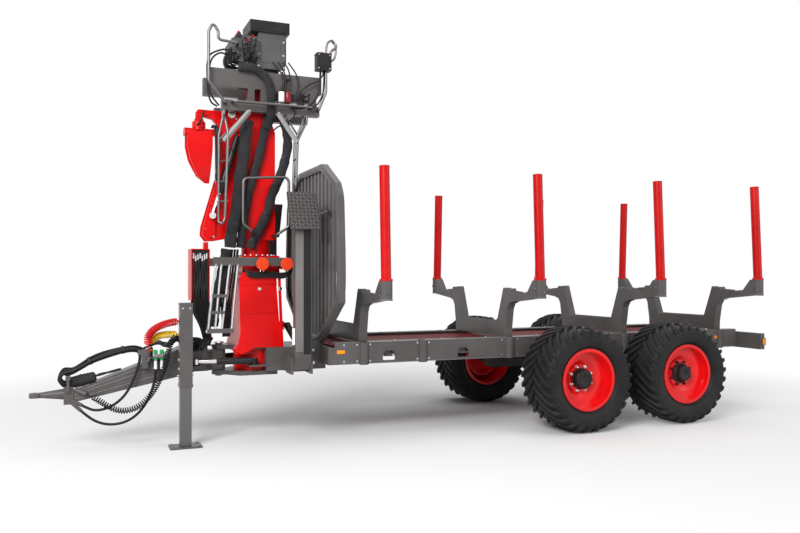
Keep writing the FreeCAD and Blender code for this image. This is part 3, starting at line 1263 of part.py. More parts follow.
def cylinders():
    cylinder("lift", (size("lift_foot_x"), size("lift_y"), size("lift_foot_z")),
             (size("lift_eye_x"), size("lift_y"), size("lift_eye_z")),
             size("lift_radius"), size("lift_rod"), (0, 1, 0), 0.86, 70)
    cylinder("fold", (size("fold_foot_x"), size("fold_y"), size("fold_foot_z")),
             (size("fold_eye_x"), size("fold_y"), size("fold_eye_z")),
             size("fold_radius"), size("fold_rod"), (0, 1, 0), 0.72, 70)
    for side, sign in (("left", 1), ("right", -1)):
        cylinder(f"steer_{side}",
                 (size("steer_foot_x"), sign * size("steer_foot_y"), size("steer_z")),
                 (size("steer_eye_x"), sign * size("steer_eye_y"), size("steer_z")),
                 size("steer_radius"), size("steer_rod"), (0, 0, 1), 0.65, 185)
        cylinder(f"leg_{side}",
                 (size("leg_x"), sign * size("leg_foot_y"), size("leg_foot_z")),
                 (size("leg_x"), sign * size("leg_eye_y"), size("leg_eye_z")),
                 size("leg_radius"), size("leg_rod"), (1, 0, 0), 0.915, 55)


# ---------------------------------------------------------------- support legs
def support_leg(side):
    """A flap-down leg, folded upright, with its tilted foot."""
    sign = "1" if side == "left" else "-1"
    tube = plate(f"leg_tube_{side}", "YZ", [
        (f"{sign} * (leg_hinge_y - 30)", "leg_hinge_z - 30"),
        (f"{sign} * (leg_hinge_y + 30)", "leg_hinge_z - 30"),
        (f"{sign} * (leg_hinge_y + 80)", "leg_hinge_z + 90"),
        (f"{sign} * (leg_hinge_y + 80)", "leg_top"),
        (f"{sign} * (leg_hinge_y + 20)", "leg_top + 200"),
        (f"{sign} * (leg_hinge_y + 5)", "leg_top + 200"),
        (f"{sign} * (leg_hinge_y + 5)", "leg_hinge_z + 140"),
        (f"{sign} * (leg_hinge_y - 30)", "leg_hinge_z + 60"),
    ], "leg_wide - 2 * 20 - 2 * side_gap", "leg_x")
    corners = [(-7, -185), (7, -185), (7, 185), (-7, 185)]
    sole = plate(f"leg_foot_{side}", "YZ", [
        (f"{sign} * (leg_hinge_y + 90 + {out} * cos(foot_tilt) - {up} * sin(foot_tilt))",
         f"leg_top + 150 + {out} * sin(foot_tilt) + {up} * cos(foot_tilt)")
        for out, up in corners
    ], "280", "leg_x")
    lugs = [plate(f"sole_lug_{side}", "YZ", [
        (f"{sign} * (leg_hinge_y + 35)", "leg_top + 60"),
        (f"{sign} * (leg_hinge_y + 111)", "leg_top + 100"),
        (f"{sign} * (leg_hinge_y + 72)", "leg_top + 192"),
        (f"{sign} * (leg_hinge_y + 12)", "leg_top + 170"),
    ], "70", "leg_x")]
    for name, offset in (("a", -37), ("b", 37)):
        lugs.append(plate(f"leg_lug_{side}_{name}", "YZ", [
            (f"{sign} * (leg_eye_y - 26)", "leg_eye_z - 18"),
            (f"{sign} * (leg_hinge_y + 20)", "leg_eye_z - 50"),
            (f"{sign} * (leg_hinge_y + 20)", "leg_eye_z + 60"),
            (f"{sign} * (leg_eye_y - 26)", "leg_eye_z + 18"),
        ], "12", f"leg_x + {offset}"))
    bore = rod(f"leg_bore_{side}", "leg_pin + running_gap", "400",
               ("leg_x - 200", f"{sign} * leg_hinge_y", "leg_hinge_z"), "x")
    keep(cut(f"leg_shape_{side}", fuse(f"leg_body_{side}", [tube, sole] + lugs), bore),
         f"support_leg_{side}")


# ---------------------------------------------------------------- cords
def cord(label, radius):
    """A free cord: its solid is a plain tube along points chosen by hand."""
    points = [V(*point) for point in ROUTES[label]]
    tube = bent_tube(points, size(radius))
    radii = []
    for before, here, after in zip(points, points[1:], points[2:]):
        back = before - here
        ahead = after - here
        half_turn = (math.pi - back.getAngle(ahead)) / 2
        radii.append(round(0.45 * min(back.Length, ahead.Length) / math.tan(half_turn)))
    path = rounded_path(points)
    share = tube.Volume / (math.pi * size(radius) ** 2 * path.Length)
    print(f"{label}: {path.Length:.0f} mm long, volume {share:.4f} of section times length")
    print(f"{label}: radii {radii} mm")
    keep(feature(label + "_shape", tube), label)


def cords():
    """The coiled leads and hose loops on the drawbar."""
    cord("red_coil", "coil_radius")
    cord("yellow_coil", "coil_radius")
    cord("electric_coil", "lead_radius")
    cord("hose_loop_1", "hose_radius")
    cord("hose_loop_2", "hose_radius")


def drawbar_sleeve():
    """The hose sleeve that arches from the rack to its rolled end over the flange."""
    sleeve = bent_tube([(2880, 52, 840), (2951, 50, 862), (3044, 48, 855), (3137, 45, 837),
                        (3235, 42, 806), (3321, 40, 768), (3396, 38, 720), (3470, 36, 662)],
                       size("sleeve_radius"))
    roll = Part.makeCylinder(75, 110, V(3495, -20, 640), V(0, 1, 0))
    foot = Part.makeBox(60, 90, 60, V(3468, -10, 555))
    whole = feature("sleeve_shape", sleeve.fuse([roll, foot]).removeSplitter())
    keep(cut("sleeve_cut", whole, doc.getObject("rack_shape")), "drawbar_sleeve")


wheels()
for each in ("left", "right"):
    bogie(each)
    rail(each)
floor_pan()
rear_bumper()
for number in (1, 2, 3, 4):
    bunk(number)
stakes()
headboard()
crane_foot()
front_frame()
slew_gear()
cabinet()
drawbar()
jack_leg()
coupling_rack()
mast()
top_frame()
valve_gear()
hand_rails()
upper_ladders()
hose_sleeves()
main_boom()
stick()
extension()
tip_link()
grapple_head()
for each in ("left", "right"):
    jaw(each)
    support_leg(each)
cylinders()
drawbar_sleeve()
cords()
doc.recompute()

failed = [item.Name for item in doc.Objects if {"Invalid", "Error"} & set(item.State)]
if failed:
    raise RuntimeError("not built: " + ", ".join(failed))
for item in NODES:
    if item.Shape.isNull() or not item.Shape.isValid():
        raise RuntimeError("no valid shape: " + item.Label)
os.makedirs("parts", exist_ok=True)
for item in NODES:
    item.Shape.exportStep(f"parts/{item.Label}.step")
print(len(NODES), "sub-parts written")
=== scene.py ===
# %% [markdown]
# # Dressing a forestry trailer
# A trailer for logs rolls on four wide wheels, carries its load between upright stakes, and has a
# folded crane on its neck. Its solids come packed as a fixed frame, in metres, with +X towards the
# towing eye and +Z up. This lesson gives each piece its surface, and adds what solids leave out:
# tyre tread, bolts, hoses and coiled leads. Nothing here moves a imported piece.

# %% Load the frame
import json
from math import cos, pi, radians, sin

import bmesh
import bpy
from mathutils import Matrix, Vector


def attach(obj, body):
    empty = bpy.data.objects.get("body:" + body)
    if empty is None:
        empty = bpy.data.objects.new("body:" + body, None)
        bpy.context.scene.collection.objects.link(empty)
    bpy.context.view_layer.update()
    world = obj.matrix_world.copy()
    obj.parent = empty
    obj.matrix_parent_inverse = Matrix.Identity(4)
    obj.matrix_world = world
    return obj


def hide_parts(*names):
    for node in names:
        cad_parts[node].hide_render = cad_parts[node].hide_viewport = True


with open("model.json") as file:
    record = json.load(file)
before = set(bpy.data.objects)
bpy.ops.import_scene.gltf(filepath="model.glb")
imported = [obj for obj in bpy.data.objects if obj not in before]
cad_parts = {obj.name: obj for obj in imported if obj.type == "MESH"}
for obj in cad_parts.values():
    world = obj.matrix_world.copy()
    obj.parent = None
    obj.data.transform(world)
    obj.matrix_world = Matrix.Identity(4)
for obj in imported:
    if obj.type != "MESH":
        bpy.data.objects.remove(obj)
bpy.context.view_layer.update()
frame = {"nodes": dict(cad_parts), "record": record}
nodes = frame["nodes"]
print("pieces in the frame:", len(nodes))

# %% [markdown]
# Every finish is a small node tree. The same few steps come back each time: a Principled shader,
# a noise that makes the colour a little uneven, and a fine bump. Object coordinates are used,
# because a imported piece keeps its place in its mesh, so a metre is a metre on every piece.

# %% Helpers for finishes
def new_node(tree, kind, **values):
    """A node of a kind, with values set on the inputs that are named."""
    node = tree.nodes.new(kind)
    for socket, value in values.items():
        node.inputs[socket.replace("_", " ")].default_value = value
    return node


def new_material(name, base, roughness, **values):
    """A material with one Principled shader, and a short way to its nodes."""
    material = bpy.data.materials.new(name)
    material.use_nodes = True
    shader = material.node_tree.nodes["Principled BSDF"]
    for socket, value in {"Base_Color": (*base, 1.0), "Roughness": roughness, **values}.items():
        shader.inputs[socket.replace("_", " ")].default_value = value
    return material, material.node_tree, shader


def noise_node(tree, scale, detail=4.0):
    """Noise in object coordinates; scale is in waves to the metre."""
    grain = new_node(tree, "ShaderNodeTexNoise", Scale=scale, Detail=detail, Roughness=0.55)
    place = new_node(tree, "ShaderNodeTexCoord")
    tree.links.new(place.outputs["Object"], grain.inputs["Vector"])
    return grain


def vary_colour(tree, shader, scale, low, high, first, second):
    """Let slow noise move the base colour from one colour to another."""
    ramp = new_node(tree, "ShaderNodeValToRGB")
    for stop, place, colour in zip(ramp.color_ramp.elements, (low, high), (first, second)):
        stop.position, stop.color = place, (*colour, 1.0)
    tree.links.new(noise_node(tree, scale).outputs["Fac"], ramp.inputs["Fac"])
    tree.links.new(ramp.outputs["Color"], shader.inputs["Base Color"])


def vary_gloss(tree, shader, grain, low, high):
    """Let a noise move the roughness between two values."""
    gloss = new_node(tree, "ShaderNodeMapRange", To_Min=low, To_Max=high)
    tree.links.new(grain.outputs["Fac"], gloss.inputs["Value"])
    tree.links.new(gloss.outputs["Result"], shader.inputs["Roughness"])


def add_bump(tree, shader, grain, strength, depth):
    """Raise the surface by a noise, to a depth in metres."""
    bump = new_node(tree, "ShaderNodeBump", Strength=strength, Distance=depth)
    tree.links.new(grain.outputs["Fac"], bump.inputs["Height"])
    tree.links.new(bump.outputs["Normal"], shader.inputs["Normal"])


FINISH = {}
print("helpers for finishes are ready")

# %% [markdown]
# Sprayed steel is the trailer's main finish. Fresh paint has an even colour, a soft gloss and a
# faint orange-peel skin. One function makes the red of the crane, the red of the wheels and the
# charcoal of the frame, so that all of them share the same sprayed look.

# %% Sprayed paint
PAINTS = {
    "crane_red": ((0.63, 0.0014, 0.0022), 0.32, 0.1),
    "stake_red": ((0.50, 0.0012, 0.0020), 0.36, 0.1),
    "rim_red": ((0.72, 0.0016, 0.0032), 0.2, 0.5),
    "pan_red": ((0.09, 0.0022, 0.0022), 0.6, 0.0),
    "frame_grey": ((0.092, 0.084, 0.083), 0.36, 0.1),
    "valve_grey": ((0.080, 0.078, 0.080), 0.42, 0.1),
    "cylinder_black": ((0.014, 0.013, 0.014), 0.3, 0.2),
    "pale_grey": ((0.30, 0.29, 0.29), 0.4, 0.1),
    "cap_orange": ((0.78, 0.055, 0.012), 0.45, 0.05),
    "clean_white": ((0.85, 0.85, 0.84), 0.4, 0.05),
    "wine_red": ((0.20, 0.006, 0.012), 0.25, 0.3),
    "amber": ((0.80, 0.25, 0.01), 0.25, 0.4),
    # A lighter grey that paints light: the lit part of the support legs' faces, and highlights on
    # edges, bars and rings.
    "painted_highlight_grey": ((0.17, 0.16, 0.158), 0.38, 0.1),
    # A dark grey that paints the shade between the soles' tread bars.
    "painted_shade_dark": ((0.045, 0.042, 0.041), 0.5, 0.1),
    "cap_green": ((0.02, 0.30, 0.09), 0.4, 0.1),
}


def sprayed(name, colour, roughness, coat):
    """Sprayed paint: slightly uneven colour and gloss over a fine orange peel."""
    material, tree, shader = new_material(name, colour, roughness, Specular_IOR_Level=0.14,
                                          Coat_Weight=coat, Coat_Roughness=0.12)
    uneven = 0.03 if name == "clean_white" else 0.12
    darker = tuple(c * (1 - uneven) for c in colour)
    lighter = tuple(min(1.0, c * (1 + uneven) + 0.004) for c in colour)
    vary_colour(tree, shader, 3.0, 0.3, 0.7, darker, lighter)
    vary_gloss(tree, shader, noise_node(tree, 9.0), roughness - 0.06, roughness + 0.08)
    add_bump(tree, shader, noise_node(tree, 420.0, detail=2.0), 0.12, 0.0006)
    return material


for name, (colour, roughness, coat) in PAINTS.items():
    FINISH[name] = sprayed(name, colour, roughness, coat)
print("sprayed paints:", len(PAINTS))

# %% [markdown]
# Bare metals come next. Piston rods are hard chrome and mirror-bright, and bolts are bright or
# dull zinc. Guard rails are dark satin bar, and the jack is rough zinc.

# %% Bare metals
METALS = {
    "rod_chrome": ((0.78, 0.78, 0.80), 0.10, 0.05), "zinc_steel": ((0.52, 0.52, 0.53), 0.36, 0.1),
    "bright_steel": ((0.66, 0.65, 0.62), 0.22, 0.06),
    "satin_bar": ((0.15, 0.145, 0.145), 0.40, 0.01),
    "jack_zinc": ((0.15, 0.145, 0.145), 0.45, 0.1),
}
for name, (colour, roughness, streaks) in METALS.items():
    FINISH[name], tree, shader = new_material(name, colour, roughness, Metallic=1.0)
    brush = noise_node(tree, 60.0, detail=6.0)
    vary_gloss(tree, shader, brush, max(0.03, roughness - streaks), roughness + streaks)
    add_bump(tree, shader, brush, 0.1, 0.0003)
print("bare metals:", len(METALS))

# %% [markdown]
# Rubber and woven sleeves don't shine. Tyre rubber is nearly black with a brownish bloom, hose
# rubber is smoother, and the sleeves round the hose bundles are a coarse woven nylon. Each row
# gives a colour and a roughness, and then the grain's scale, depth and strength.

# %% Rubber and woven sleeves
SOFT = {
    "tyre_rubber": ((0.012, 0.011, 0.0115), 0.56, 220.0, 0.0012, 0.4),
    "hose_black": ((0.012, 0.012, 0.012), 0.45, 300.0, 0.0004, 0.2),
    "sleeve_cloth": ((0.020, 0.020, 0.022), 0.8, 500.0, 0.0012, 0.7),
    "coil_red": ((0.50, 0.010, 0.012), 0.35, 200.0, 0.0003, 0.1),
    "coil_yellow": ((0.80, 0.52, 0.02), 0.35, 200.0, 0.0003, 0.1),
    "cap_black": ((0.014, 0.014, 0.015), 0.4, 90.0, 0.0004, 0.15),
}
for name, (colour, roughness, scale, depth, strength) in SOFT.items():
    FINISH[name], tree, shader = new_material(name, colour, roughness, Specular_IOR_Level=0.16)
    pale = tuple(c * 1.5 + 0.004 for c in colour)
    vary_colour(tree, shader, 6.0, 0.35, 0.75, colour, pale)
    add_bump(tree, shader, noise_node(tree, scale, detail=3.0), strength, depth)
print("soft finishes:", len(SOFT))

# %% [markdown]
# Real steel has no knife edges: folded and welded parts catch a thin line of light along each
# edge. A Bevel modifier, limited by angle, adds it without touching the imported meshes.

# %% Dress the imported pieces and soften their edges
SMALL_EDGE = 0.003
OWN_FINISH = {"hand_rails": "satin_bar", "mast_ladders": "satin_bar", "jack_leg": "jack_zinc"}


def soften(item, width, angle):
    """Round the edges of an object that are sharper than an angle in degrees."""
    bevel = item.modifiers.new("edge", "BEVEL")
    bevel.width, bevel.segments = width, 2
    bevel.limit_method, bevel.angle_limit = "ANGLE", radians(angle)


slots = {part["node"]: part["material_slot"] for part in frame["record"]["subparts"]}
for node, slot in slots.items():
    finish = OWN_FINISH.get(node, "sleeve_cloth" if slot == "hose_black" else slot)
    nodes[node].data.materials.clear()
    nodes[node].data.materials.append(FINISH[finish])
    soften(nodes[node], SMALL_EDGE, 40)
print("packed pieces dressed:", len(slots), "edges softened by", SMALL_EDGE * 1000, "mm")

# %% [markdown]
# The small pieces below come from a few shapes: a round bar along a smooth line, a lathe-turned
# outline, and a bevelled block. Each helper gives points and faces, and `join_up` makes one mesh
# of many such parts that rides a body of the frame.

# %% Helpers for shapes
def grid_faces(rows, columns):
    """Faces of a grid of points whose columns close on themselves."""
    faces = []
    for i in range(rows - 1):
        for j in range(columns):
            k = (j + 1) % columns
            faces.append((i * columns + j, i * columns + k,
                          (i + 1) * columns + k, (i + 1) * columns + j))
    return faces


def lathe(outline, at, axis, steps=32, solid=True):
    """Turn (along, radius) pairs about an axis from a point; a solid one has flat ends."""
    if solid:
        ends = [[(reach, 0.0)] if radius else [] for reach, radius in (outline[0], outline[-1])]
        outline = ends[0] + outline + ends[1]
    along = Vector(axis).normalized()
    side = along.orthogonal().normalized()
    up = along.cross(side)
    points = []
    for reach, radius in outline:
        for j in range(steps):
            turn = 2 * pi * j / steps
            points.append(Vector(at) + along * reach + (side * cos(turn) + up * sin(turn)) * radius)
    return points, grid_faces(len(outline), steps)


def pipe(path, radius, sides=12, flat=1.0, across=(0, 1, 0)):
    """A bar along a path; flat below 1 makes it an oval strap, thin in the direction across."""
    spine, thin = [Vector(p) for p in path], Vector(across)
    points = []
    for i, here in enumerate(spine):
        ahead = (spine[min(i + 1, len(spine) - 1)] - spine[max(i - 1, 0)]).normalized()
        side = thin - ahead * thin.dot(ahead)
        if side.length < 1e-4:
            side = ahead.orthogonal()
        side.normalize()
        up = ahead.cross(side)
        size = radius[i] if isinstance(radius, list) else radius
        for j in range(sides):
            turn = 2 * pi * j / sides
            points.append(here + side * (cos(turn) * size * flat) + up * (sin(turn) * size))
    faces = grid_faces(len(spine), sides)
    faces.append(tuple(range(sides))[::-1])
    faces.append(tuple(range((len(spine) - 1) * sides, len(spine) * sides)))
    return points, faces


def smooth_line(corners, steps=10):
    """A smooth line through corner points (Catmull-Rom)."""
    knots = [Vector(c) for c in corners]
    knots = [2 * knots[0] - knots[1]] + knots + [2 * knots[-1] - knots[-2]]
    line = []
    for a, b, c, d in zip(knots, knots[1:], knots[2:], knots[3:]):
        for s in range(steps):
            t = s / steps
            line.append(0.5 * ((2 * b) + (c - a) * t + (2 * a - 5 * b + 4 * c - d) * t * t
                               + (3 * b - a - 3 * c + d) * t ** 3))
    return line + [knots[-2]]


def hose(corners, radius, steps=6, sides=8):
    """A round hose on a smooth line."""
    return pipe(smooth_line(corners, steps), radius, sides)


BOX_FACES = [(0, 1, 3, 2), (4, 6, 7, 5), (0, 4, 5, 1), (2, 3, 7, 6), (0, 2, 6, 4), (1, 5, 7, 3)]


def block(one, other):
    """A box between two opposite corners."""
    xs, ys, zs = (sorted(pair) for pair in zip(one, other))
    return [Vector((x, y, z)) for x in xs for y in ys for z in zs], BOX_FACES


def prism(near, far):
    """A solid between two matching closed outlines."""
    count = len(near)
    faces = [(i, (i + 1) % count, count + (i + 1) % count, count + i) for i in range(count)]
    return near + far, faces + [tuple(range(count))[::-1], tuple(range(count, 2 * count))]


def hex_bolt(at, axis, size=0.012, high=0.008):
    """A hexagon head with a chamfered crown on a washer."""
    return lathe([(0, size * 1.25), (0.0025, size * 1.25), (0.0025, size), (high, size),
                  (high + 0.002, size * 0.82)], at, axis, steps=6)


def join_up(name, parts, finish, body, bevel=0.0, smooth=True):
    """One mesh of several parts, on a body of the frame."""
    points, faces = [], []
    for some_points, some_faces in parts:
        start = len(points)
        points.extend(some_points)
        faces.extend(tuple(start + i for i in face) for face in some_faces)
    mesh = bpy.data.meshes.new(name)
    mesh.from_pydata([tuple(p) for p in points], [], faces)
    builder = bmesh.new()
    builder.from_mesh(mesh)
    bmesh.ops.remove_doubles(builder, verts=builder.verts, dist=1e-6)
    bmesh.ops.recalc_face_normals(builder, faces=builder.faces)
    builder.to_mesh(mesh)
    builder.free()
    mesh.materials.append(FINISH[finish])
    item = bpy.data.objects.new(name, mesh)
    bpy.context.scene.collection.objects.link(item)
    if smooth:
        mesh.shade_smooth()
        mesh.set_sharp_from_angle(angle=radians(38))
    if bevel:
        soften(item, bevel, 38)
    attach(item, body)
    return item


print("shape helpers are ready")

# %% [markdown]
# Hoses and leads hang between the front of the frame and the drawbar, with slack for the bend of
# a turn. Each route is a few points, and Blender's NURBS line runs smoothly between them. The air
# and lighting leads are coiled like springs, so their line winds round that route.

# %% Hoses on a smooth line
RED_ROUTE = [(2.545, 0.15, 1.112), (2.6, 0.15, 1.112), (2.675, 0.15, 1.098), (2.752, 0.15, 1.07),
             (2.815, 0.15, 1.025), (2.846, 0.15, 0.968), (2.833, 0.15, 0.915),
             (2.833, 0.15, 0.875)]
YELLOW_ROUTE = [(2.545, 0.088, 0.99), (2.6, 0.088, 0.99), (2.665, 0.088, 0.993),
                (2.73, 0.088, 0.988), (2.782, 0.088, 0.965), (2.805, 0.088, 0.922),
                (2.805, 0.088, 0.878)]
LIGHT_ROUTE = [(2.545, 0.215, 0.99), (2.59, 0.215, 0.99), (2.632, 0.215, 0.962),
               (2.655, 0.216, 0.905), (2.67, 0.217, 0.825), (2.696, 0.218, 0.725),
               (2.733, 0.218, 0.62), (2.785, 0.217, 0.515), (2.85, 0.213, 0.425),
               (2.925, 0.206, 0.365), (3.008, 0.196, 0.336), (3.093, 0.184, 0.34),
               (3.168, 0.168, 0.376), (3.236, 0.152, 0.425), (3.3, 0.134, 0.468),
               (3.35, 0.112, 0.49)]
SUPPLY_ROUTE = [(2.908, 0.15, 0.82), (2.908, 0.15, 0.775), (2.924, 0.15, 0.705),
                (2.952, 0.149, 0.62), (2.992, 0.146, 0.53), (3.045, 0.142, 0.45),
                (3.115, 0.136, 0.39), (3.2, 0.128, 0.35), (3.285, 0.115, 0.342),
                (3.345, 0.101, 0.368), (3.385, 0.092, 0.39)]
RETURN_ROUTE = [(2.773, 0.174, 0.688), (2.773, 0.174, 0.64), (2.788, 0.174, 0.56),
                (2.818, 0.173, 0.465), (2.862, 0.171, 0.375), (2.925, 0.167, 0.295),
                (3.005, 0.161, 0.24), (3.095, 0.153, 0.215), (3.19, 0.141, 0.218),
                (3.275, 0.125, 0.248), (3.345, 0.107, 0.298), (3.395, 0.092, 0.345)]


def nurbs_curve(name, route, radius, resolution=8):
    """A curve of one open NURBS line whose control points are the route's."""
    line = bpy.data.curves.new(name, "CURVE")
    line.dimensions = "3D"
    line.resolution_u = resolution
    line.bevel_depth = radius
    line.bevel_resolution = 3
    line.use_fill_caps = radius > 0
    spline = line.splines.new("NURBS")
    spline.points.add(len(route) - 1)
    for point, place in zip(spline.points, route):
        point.co = (*place, 1.0)
    spline.order_u = 3
    spline.use_endpoint_u = True
    return line


def hang_cord(name, curve, finish, node):
    """Put a curve on the drawbar, in place of its packed tube."""
    cord = bpy.data.objects.new(name, curve)
    curve.materials.append(FINISH[finish])
    bpy.context.scene.collection.objects.link(cord)
    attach(cord, "drawbar")
    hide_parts(node)
    return cord


HOSE_RADIUS = 0.012
for name, route, node, length in (("supply_hose", SUPPLY_ROUTE, "hose_loop_1", 0.76),
                                  ("return_hose", RETURN_ROUTE, "hose_loop_2", 0.94)):
    cord = hang_cord(name, nurbs_curve(name, route, HOSE_RADIUS), "hose_black", node)
    print(name, "of", length, "m")

# %% [markdown]
# A coiled lead is one long line that winds round its route. The winding reads places and
# directions along the route, carries a side direction smoothly from one place to the next, and
# turns about it by an even angle. The first and last turns open from the line's own middle.

# %% Coiled leads
POINTS_A_TURN = 14


def points_along(route):
    """Points read from the route's NURBS line, and its length."""
    holder = bpy.data.objects.new("route", nurbs_curve("route", route, 0.0, resolution=24))
    mesh = bpy.data.meshes.new_from_object(holder)
    spots = [vertex.co.copy() for vertex in mesh.vertices]
    bpy.data.objects.remove(holder)
    bpy.data.meshes.remove(mesh)
    return spots, sum((b - a).length for a, b in zip(spots, spots[1:]))


def wound_points(route, turns, coil_radius, lead_in):
    """Points of a helix round the route; its ends run straight for a short way."""
    spots, length = points_along(route)
    walked = [0.0]
    for a, b in zip(spots, spots[1:]):
        walked.append(walked[-1] + (b - a).length)
    side = Vector((0, 1, 0))
    points = [spots[0].copy()]
    last = turns * POINTS_A_TURN
    leg = 0
    for step in range(last + 1):
        goal = lead_in + (length - 2 * lead_in) * step / last
        while walked[leg + 1] < goal:
            leg += 1
        share = (goal - walked[leg]) / (walked[leg + 1] - walked[leg])
        here = spots[leg].lerp(spots[leg + 1], share)
        ahead = (spots[leg + 1] - spots[leg]).normalized()
        side = (side - ahead * side.dot(ahead)).normalized()
        up = ahead.cross(side)
        turn = 2 * pi * step / POINTS_A_TURN
        reach = coil_radius * min(1.0, step / POINTS_A_TURN, (last - step) / POINTS_A_TURN)
        points.append(here + (side * cos(turn) + up * sin(turn)) * reach)
    return points + [spots[-1].copy()]


for name, route, turns, coil_radius, lead_radius, lead_in, finish, node, length in (
        ("red_air_lead", RED_ROUTE, 27, 0.03, 0.0064, 0.03, "coil_red", "red_coil", 4.9),
        ("yellow_air_lead", YELLOW_ROUTE, 18, 0.029, 0.0064, 0.03, "coil_yellow", "yellow_coil",
         3.1),
        ("lighting_lead", LIGHT_ROUTE, 56, 0.024, 0.0052, 0.045, "hose_black", "electric_coil",
         8.2)):
    points = wound_points(route, turns, coil_radius, lead_in)
    curve = nurbs_curve(name, points, lead_radius, resolution=2)
    curve.bevel_resolution = 1
    coil = hang_cord(name, curve, finish, node)
    print(name, "of", turns, "turns and", length, "m")

# %% [markdown]
# A flotation tyre for soft ground has two rows of long lugs that meet in a zigzag on the crown,
# sweep back, and run down over the shoulder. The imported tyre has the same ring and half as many,
# plainer lugs. This one takes its place. Its sidewall has raised rings, as moulds leave.

# %% A tyre with curved lugs
HALF_WIDTH, LUG_COUNT, AXLE_HEIGHT = 0.25, 30, 0.515
SIDE = [(0.198, 0.288), (0.199, 0.312), (0.212, 0.322), (0.226, 0.33), (0.229, 0.334),
        (0.233, 0.335), (0.241, 0.352), (0.247, 0.378), (0.2495, 0.398), (0.2496, 0.402),
        (0.248, 0.404), (0.2478, 0.412), (0.2492, 0.414), (0.2485, 0.43), (0.244, 0.448),
        (0.232, 0.468), (0.205, 0.482), (0.15, 0.487), (0.075, 0.488), (0.0, 0.488)]
LUG_ROWS = [(0.006, 0.5145), (0.03, 0.5148), (0.06, 0.515), (0.095, 0.515), (0.13, 0.5145),
            (0.165, 0.513), (0.198, 0.51), (0.224, 0.503), (0.241, 0.49), (0.2495, 0.468),
            (0.2498, 0.446), (0.249, 0.432)]
SHOULDER_ROW = 8


def one_lug(turn, sign):
    """A lug that follows its sweep: wide foot, narrower top, and a sunk root."""
    points, rows = [], len(LUG_ROWS)
    for index, (across, top) in enumerate(LUG_ROWS):
        run = index / (rows - 1)
        swept = 0.40 * (min(across, HALF_WIDTH) / HALF_WIDTH) ** 0.85
        middle = turn + swept + 0.03 * max(0.0, run - 0.75)
        wide = 0.021 + 0.007 * sin(pi * min(1.0, run * 1.2))
        down = index >= SHOULDER_ROW
        foot = top - (0.028 if down else 0.036)
        sunk = 0.004 + (0.014 if index > SHOULDER_ROW else 0.0)
        for offset, radius, tuck in ((-wide * 1.3, foot, sunk), (-wide, top - 0.004, 0.0),
                                     (-wide * 0.8, top, 0.0), (wide * 0.8, top, 0.0),
                                     (wide, top - 0.004, 0.0), (wide * 1.3, foot, sunk)):
            angle = middle + offset * 1.3
            place = sign * (across - (tuck if down else 0.0))
            points.append(Vector((radius * sin(angle), place, radius * cos(angle))))
    faces = [(i * 6 + j, i * 6 + j + 1, i * 6 + j + 7, i * 6 + j + 6)
             for i in range(rows - 1) for j in range(5)]
    last = (rows - 1) * 6
    return points, faces + [tuple(range(6)), tuple(range(last, last + 6))[::-1]]


ring = [(-a, r) for a, r in SIDE] + [(a, r) for a, r in reversed(SIDE[:-1])]
tread = [lathe(ring, (0, 0, 0), (0, 1, 0), steps=96, solid=False)]
for number in range(LUG_COUNT):
    pitch = 2 * pi / LUG_COUNT
    tread.append(one_lug(number * pitch, 1))
    tread.append(one_lug((number + 0.5) * pitch, -1))
print("lugs on a tyre:", 2 * LUG_COUNT)

# %% Four tyres in place
WHEELS = [(end, axle, side, middle) for end, axle in (("front", -1.165), ("rear", -2.391))
          for side, middle in (("left", 1.006), ("right", -1.006))]
for end, axle, side, middle in WHEELS:
    shift = Vector((axle, middle, AXLE_HEIGHT))
    moved = [([p + shift for p in points], faces) for points, faces in tread]
    tyre = join_up(f"lugged_tyre_{end}_{side}", moved, "tyre_rubber", f"wheel_{end}_{side}")
    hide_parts(f"tyre_{end}_{side}")
print("tyres fitted:", len(WHEELS))

# %% [markdown]
# The front hubs wear a black ribbed cap inside a ring of bright wheel bolts. The rear hubs stand
# further out, with dark bolts round a stepped cap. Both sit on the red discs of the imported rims.

# %% Hub caps and wheel bolts
HUB_FACE = {"front": 1.076, "rear": 1.106}
BOLT_FINISH = {"front": "bright_steel", "rear": "cylinder_black"}
CAP_OUTLINE = {
    "front": [(-0.001, 0.103), (0.01, 0.104), (0.013, 0.1), (0.014, 0.096), (0.054, 0.095),
              (0.066, 0.091), (0.073, 0.082), (0.0765, 0.07), (0.0765, 0.052), (0.0745, 0.046)],
    "rear": [(-0.001, 0.104), (0.008, 0.106), (0.014, 0.104), (0.015, 0.099), (0.03, 0.086),
             (0.05, 0.08), (0.066, 0.078), (0.074, 0.074), (0.0765, 0.066), (0.0765, 0.05),
             (0.0745, 0.046)],
}
RIB_FOOT, RIB_TOP = {"front": 0.097, "rear": 0.0845}, {"front": 0.093, "rear": 0.0795}
CAP_RIBS, WHEEL_BOLTS, BOLT_RING = 24, 8, 0.123


def round_wheel(count, offset=0.0):
    """Directions at even steps round an axle."""
    turns = (2 * pi * (number + offset) / count for number in range(count))
    return [Vector((cos(turn), 0, sin(turn))) for turn in turns]


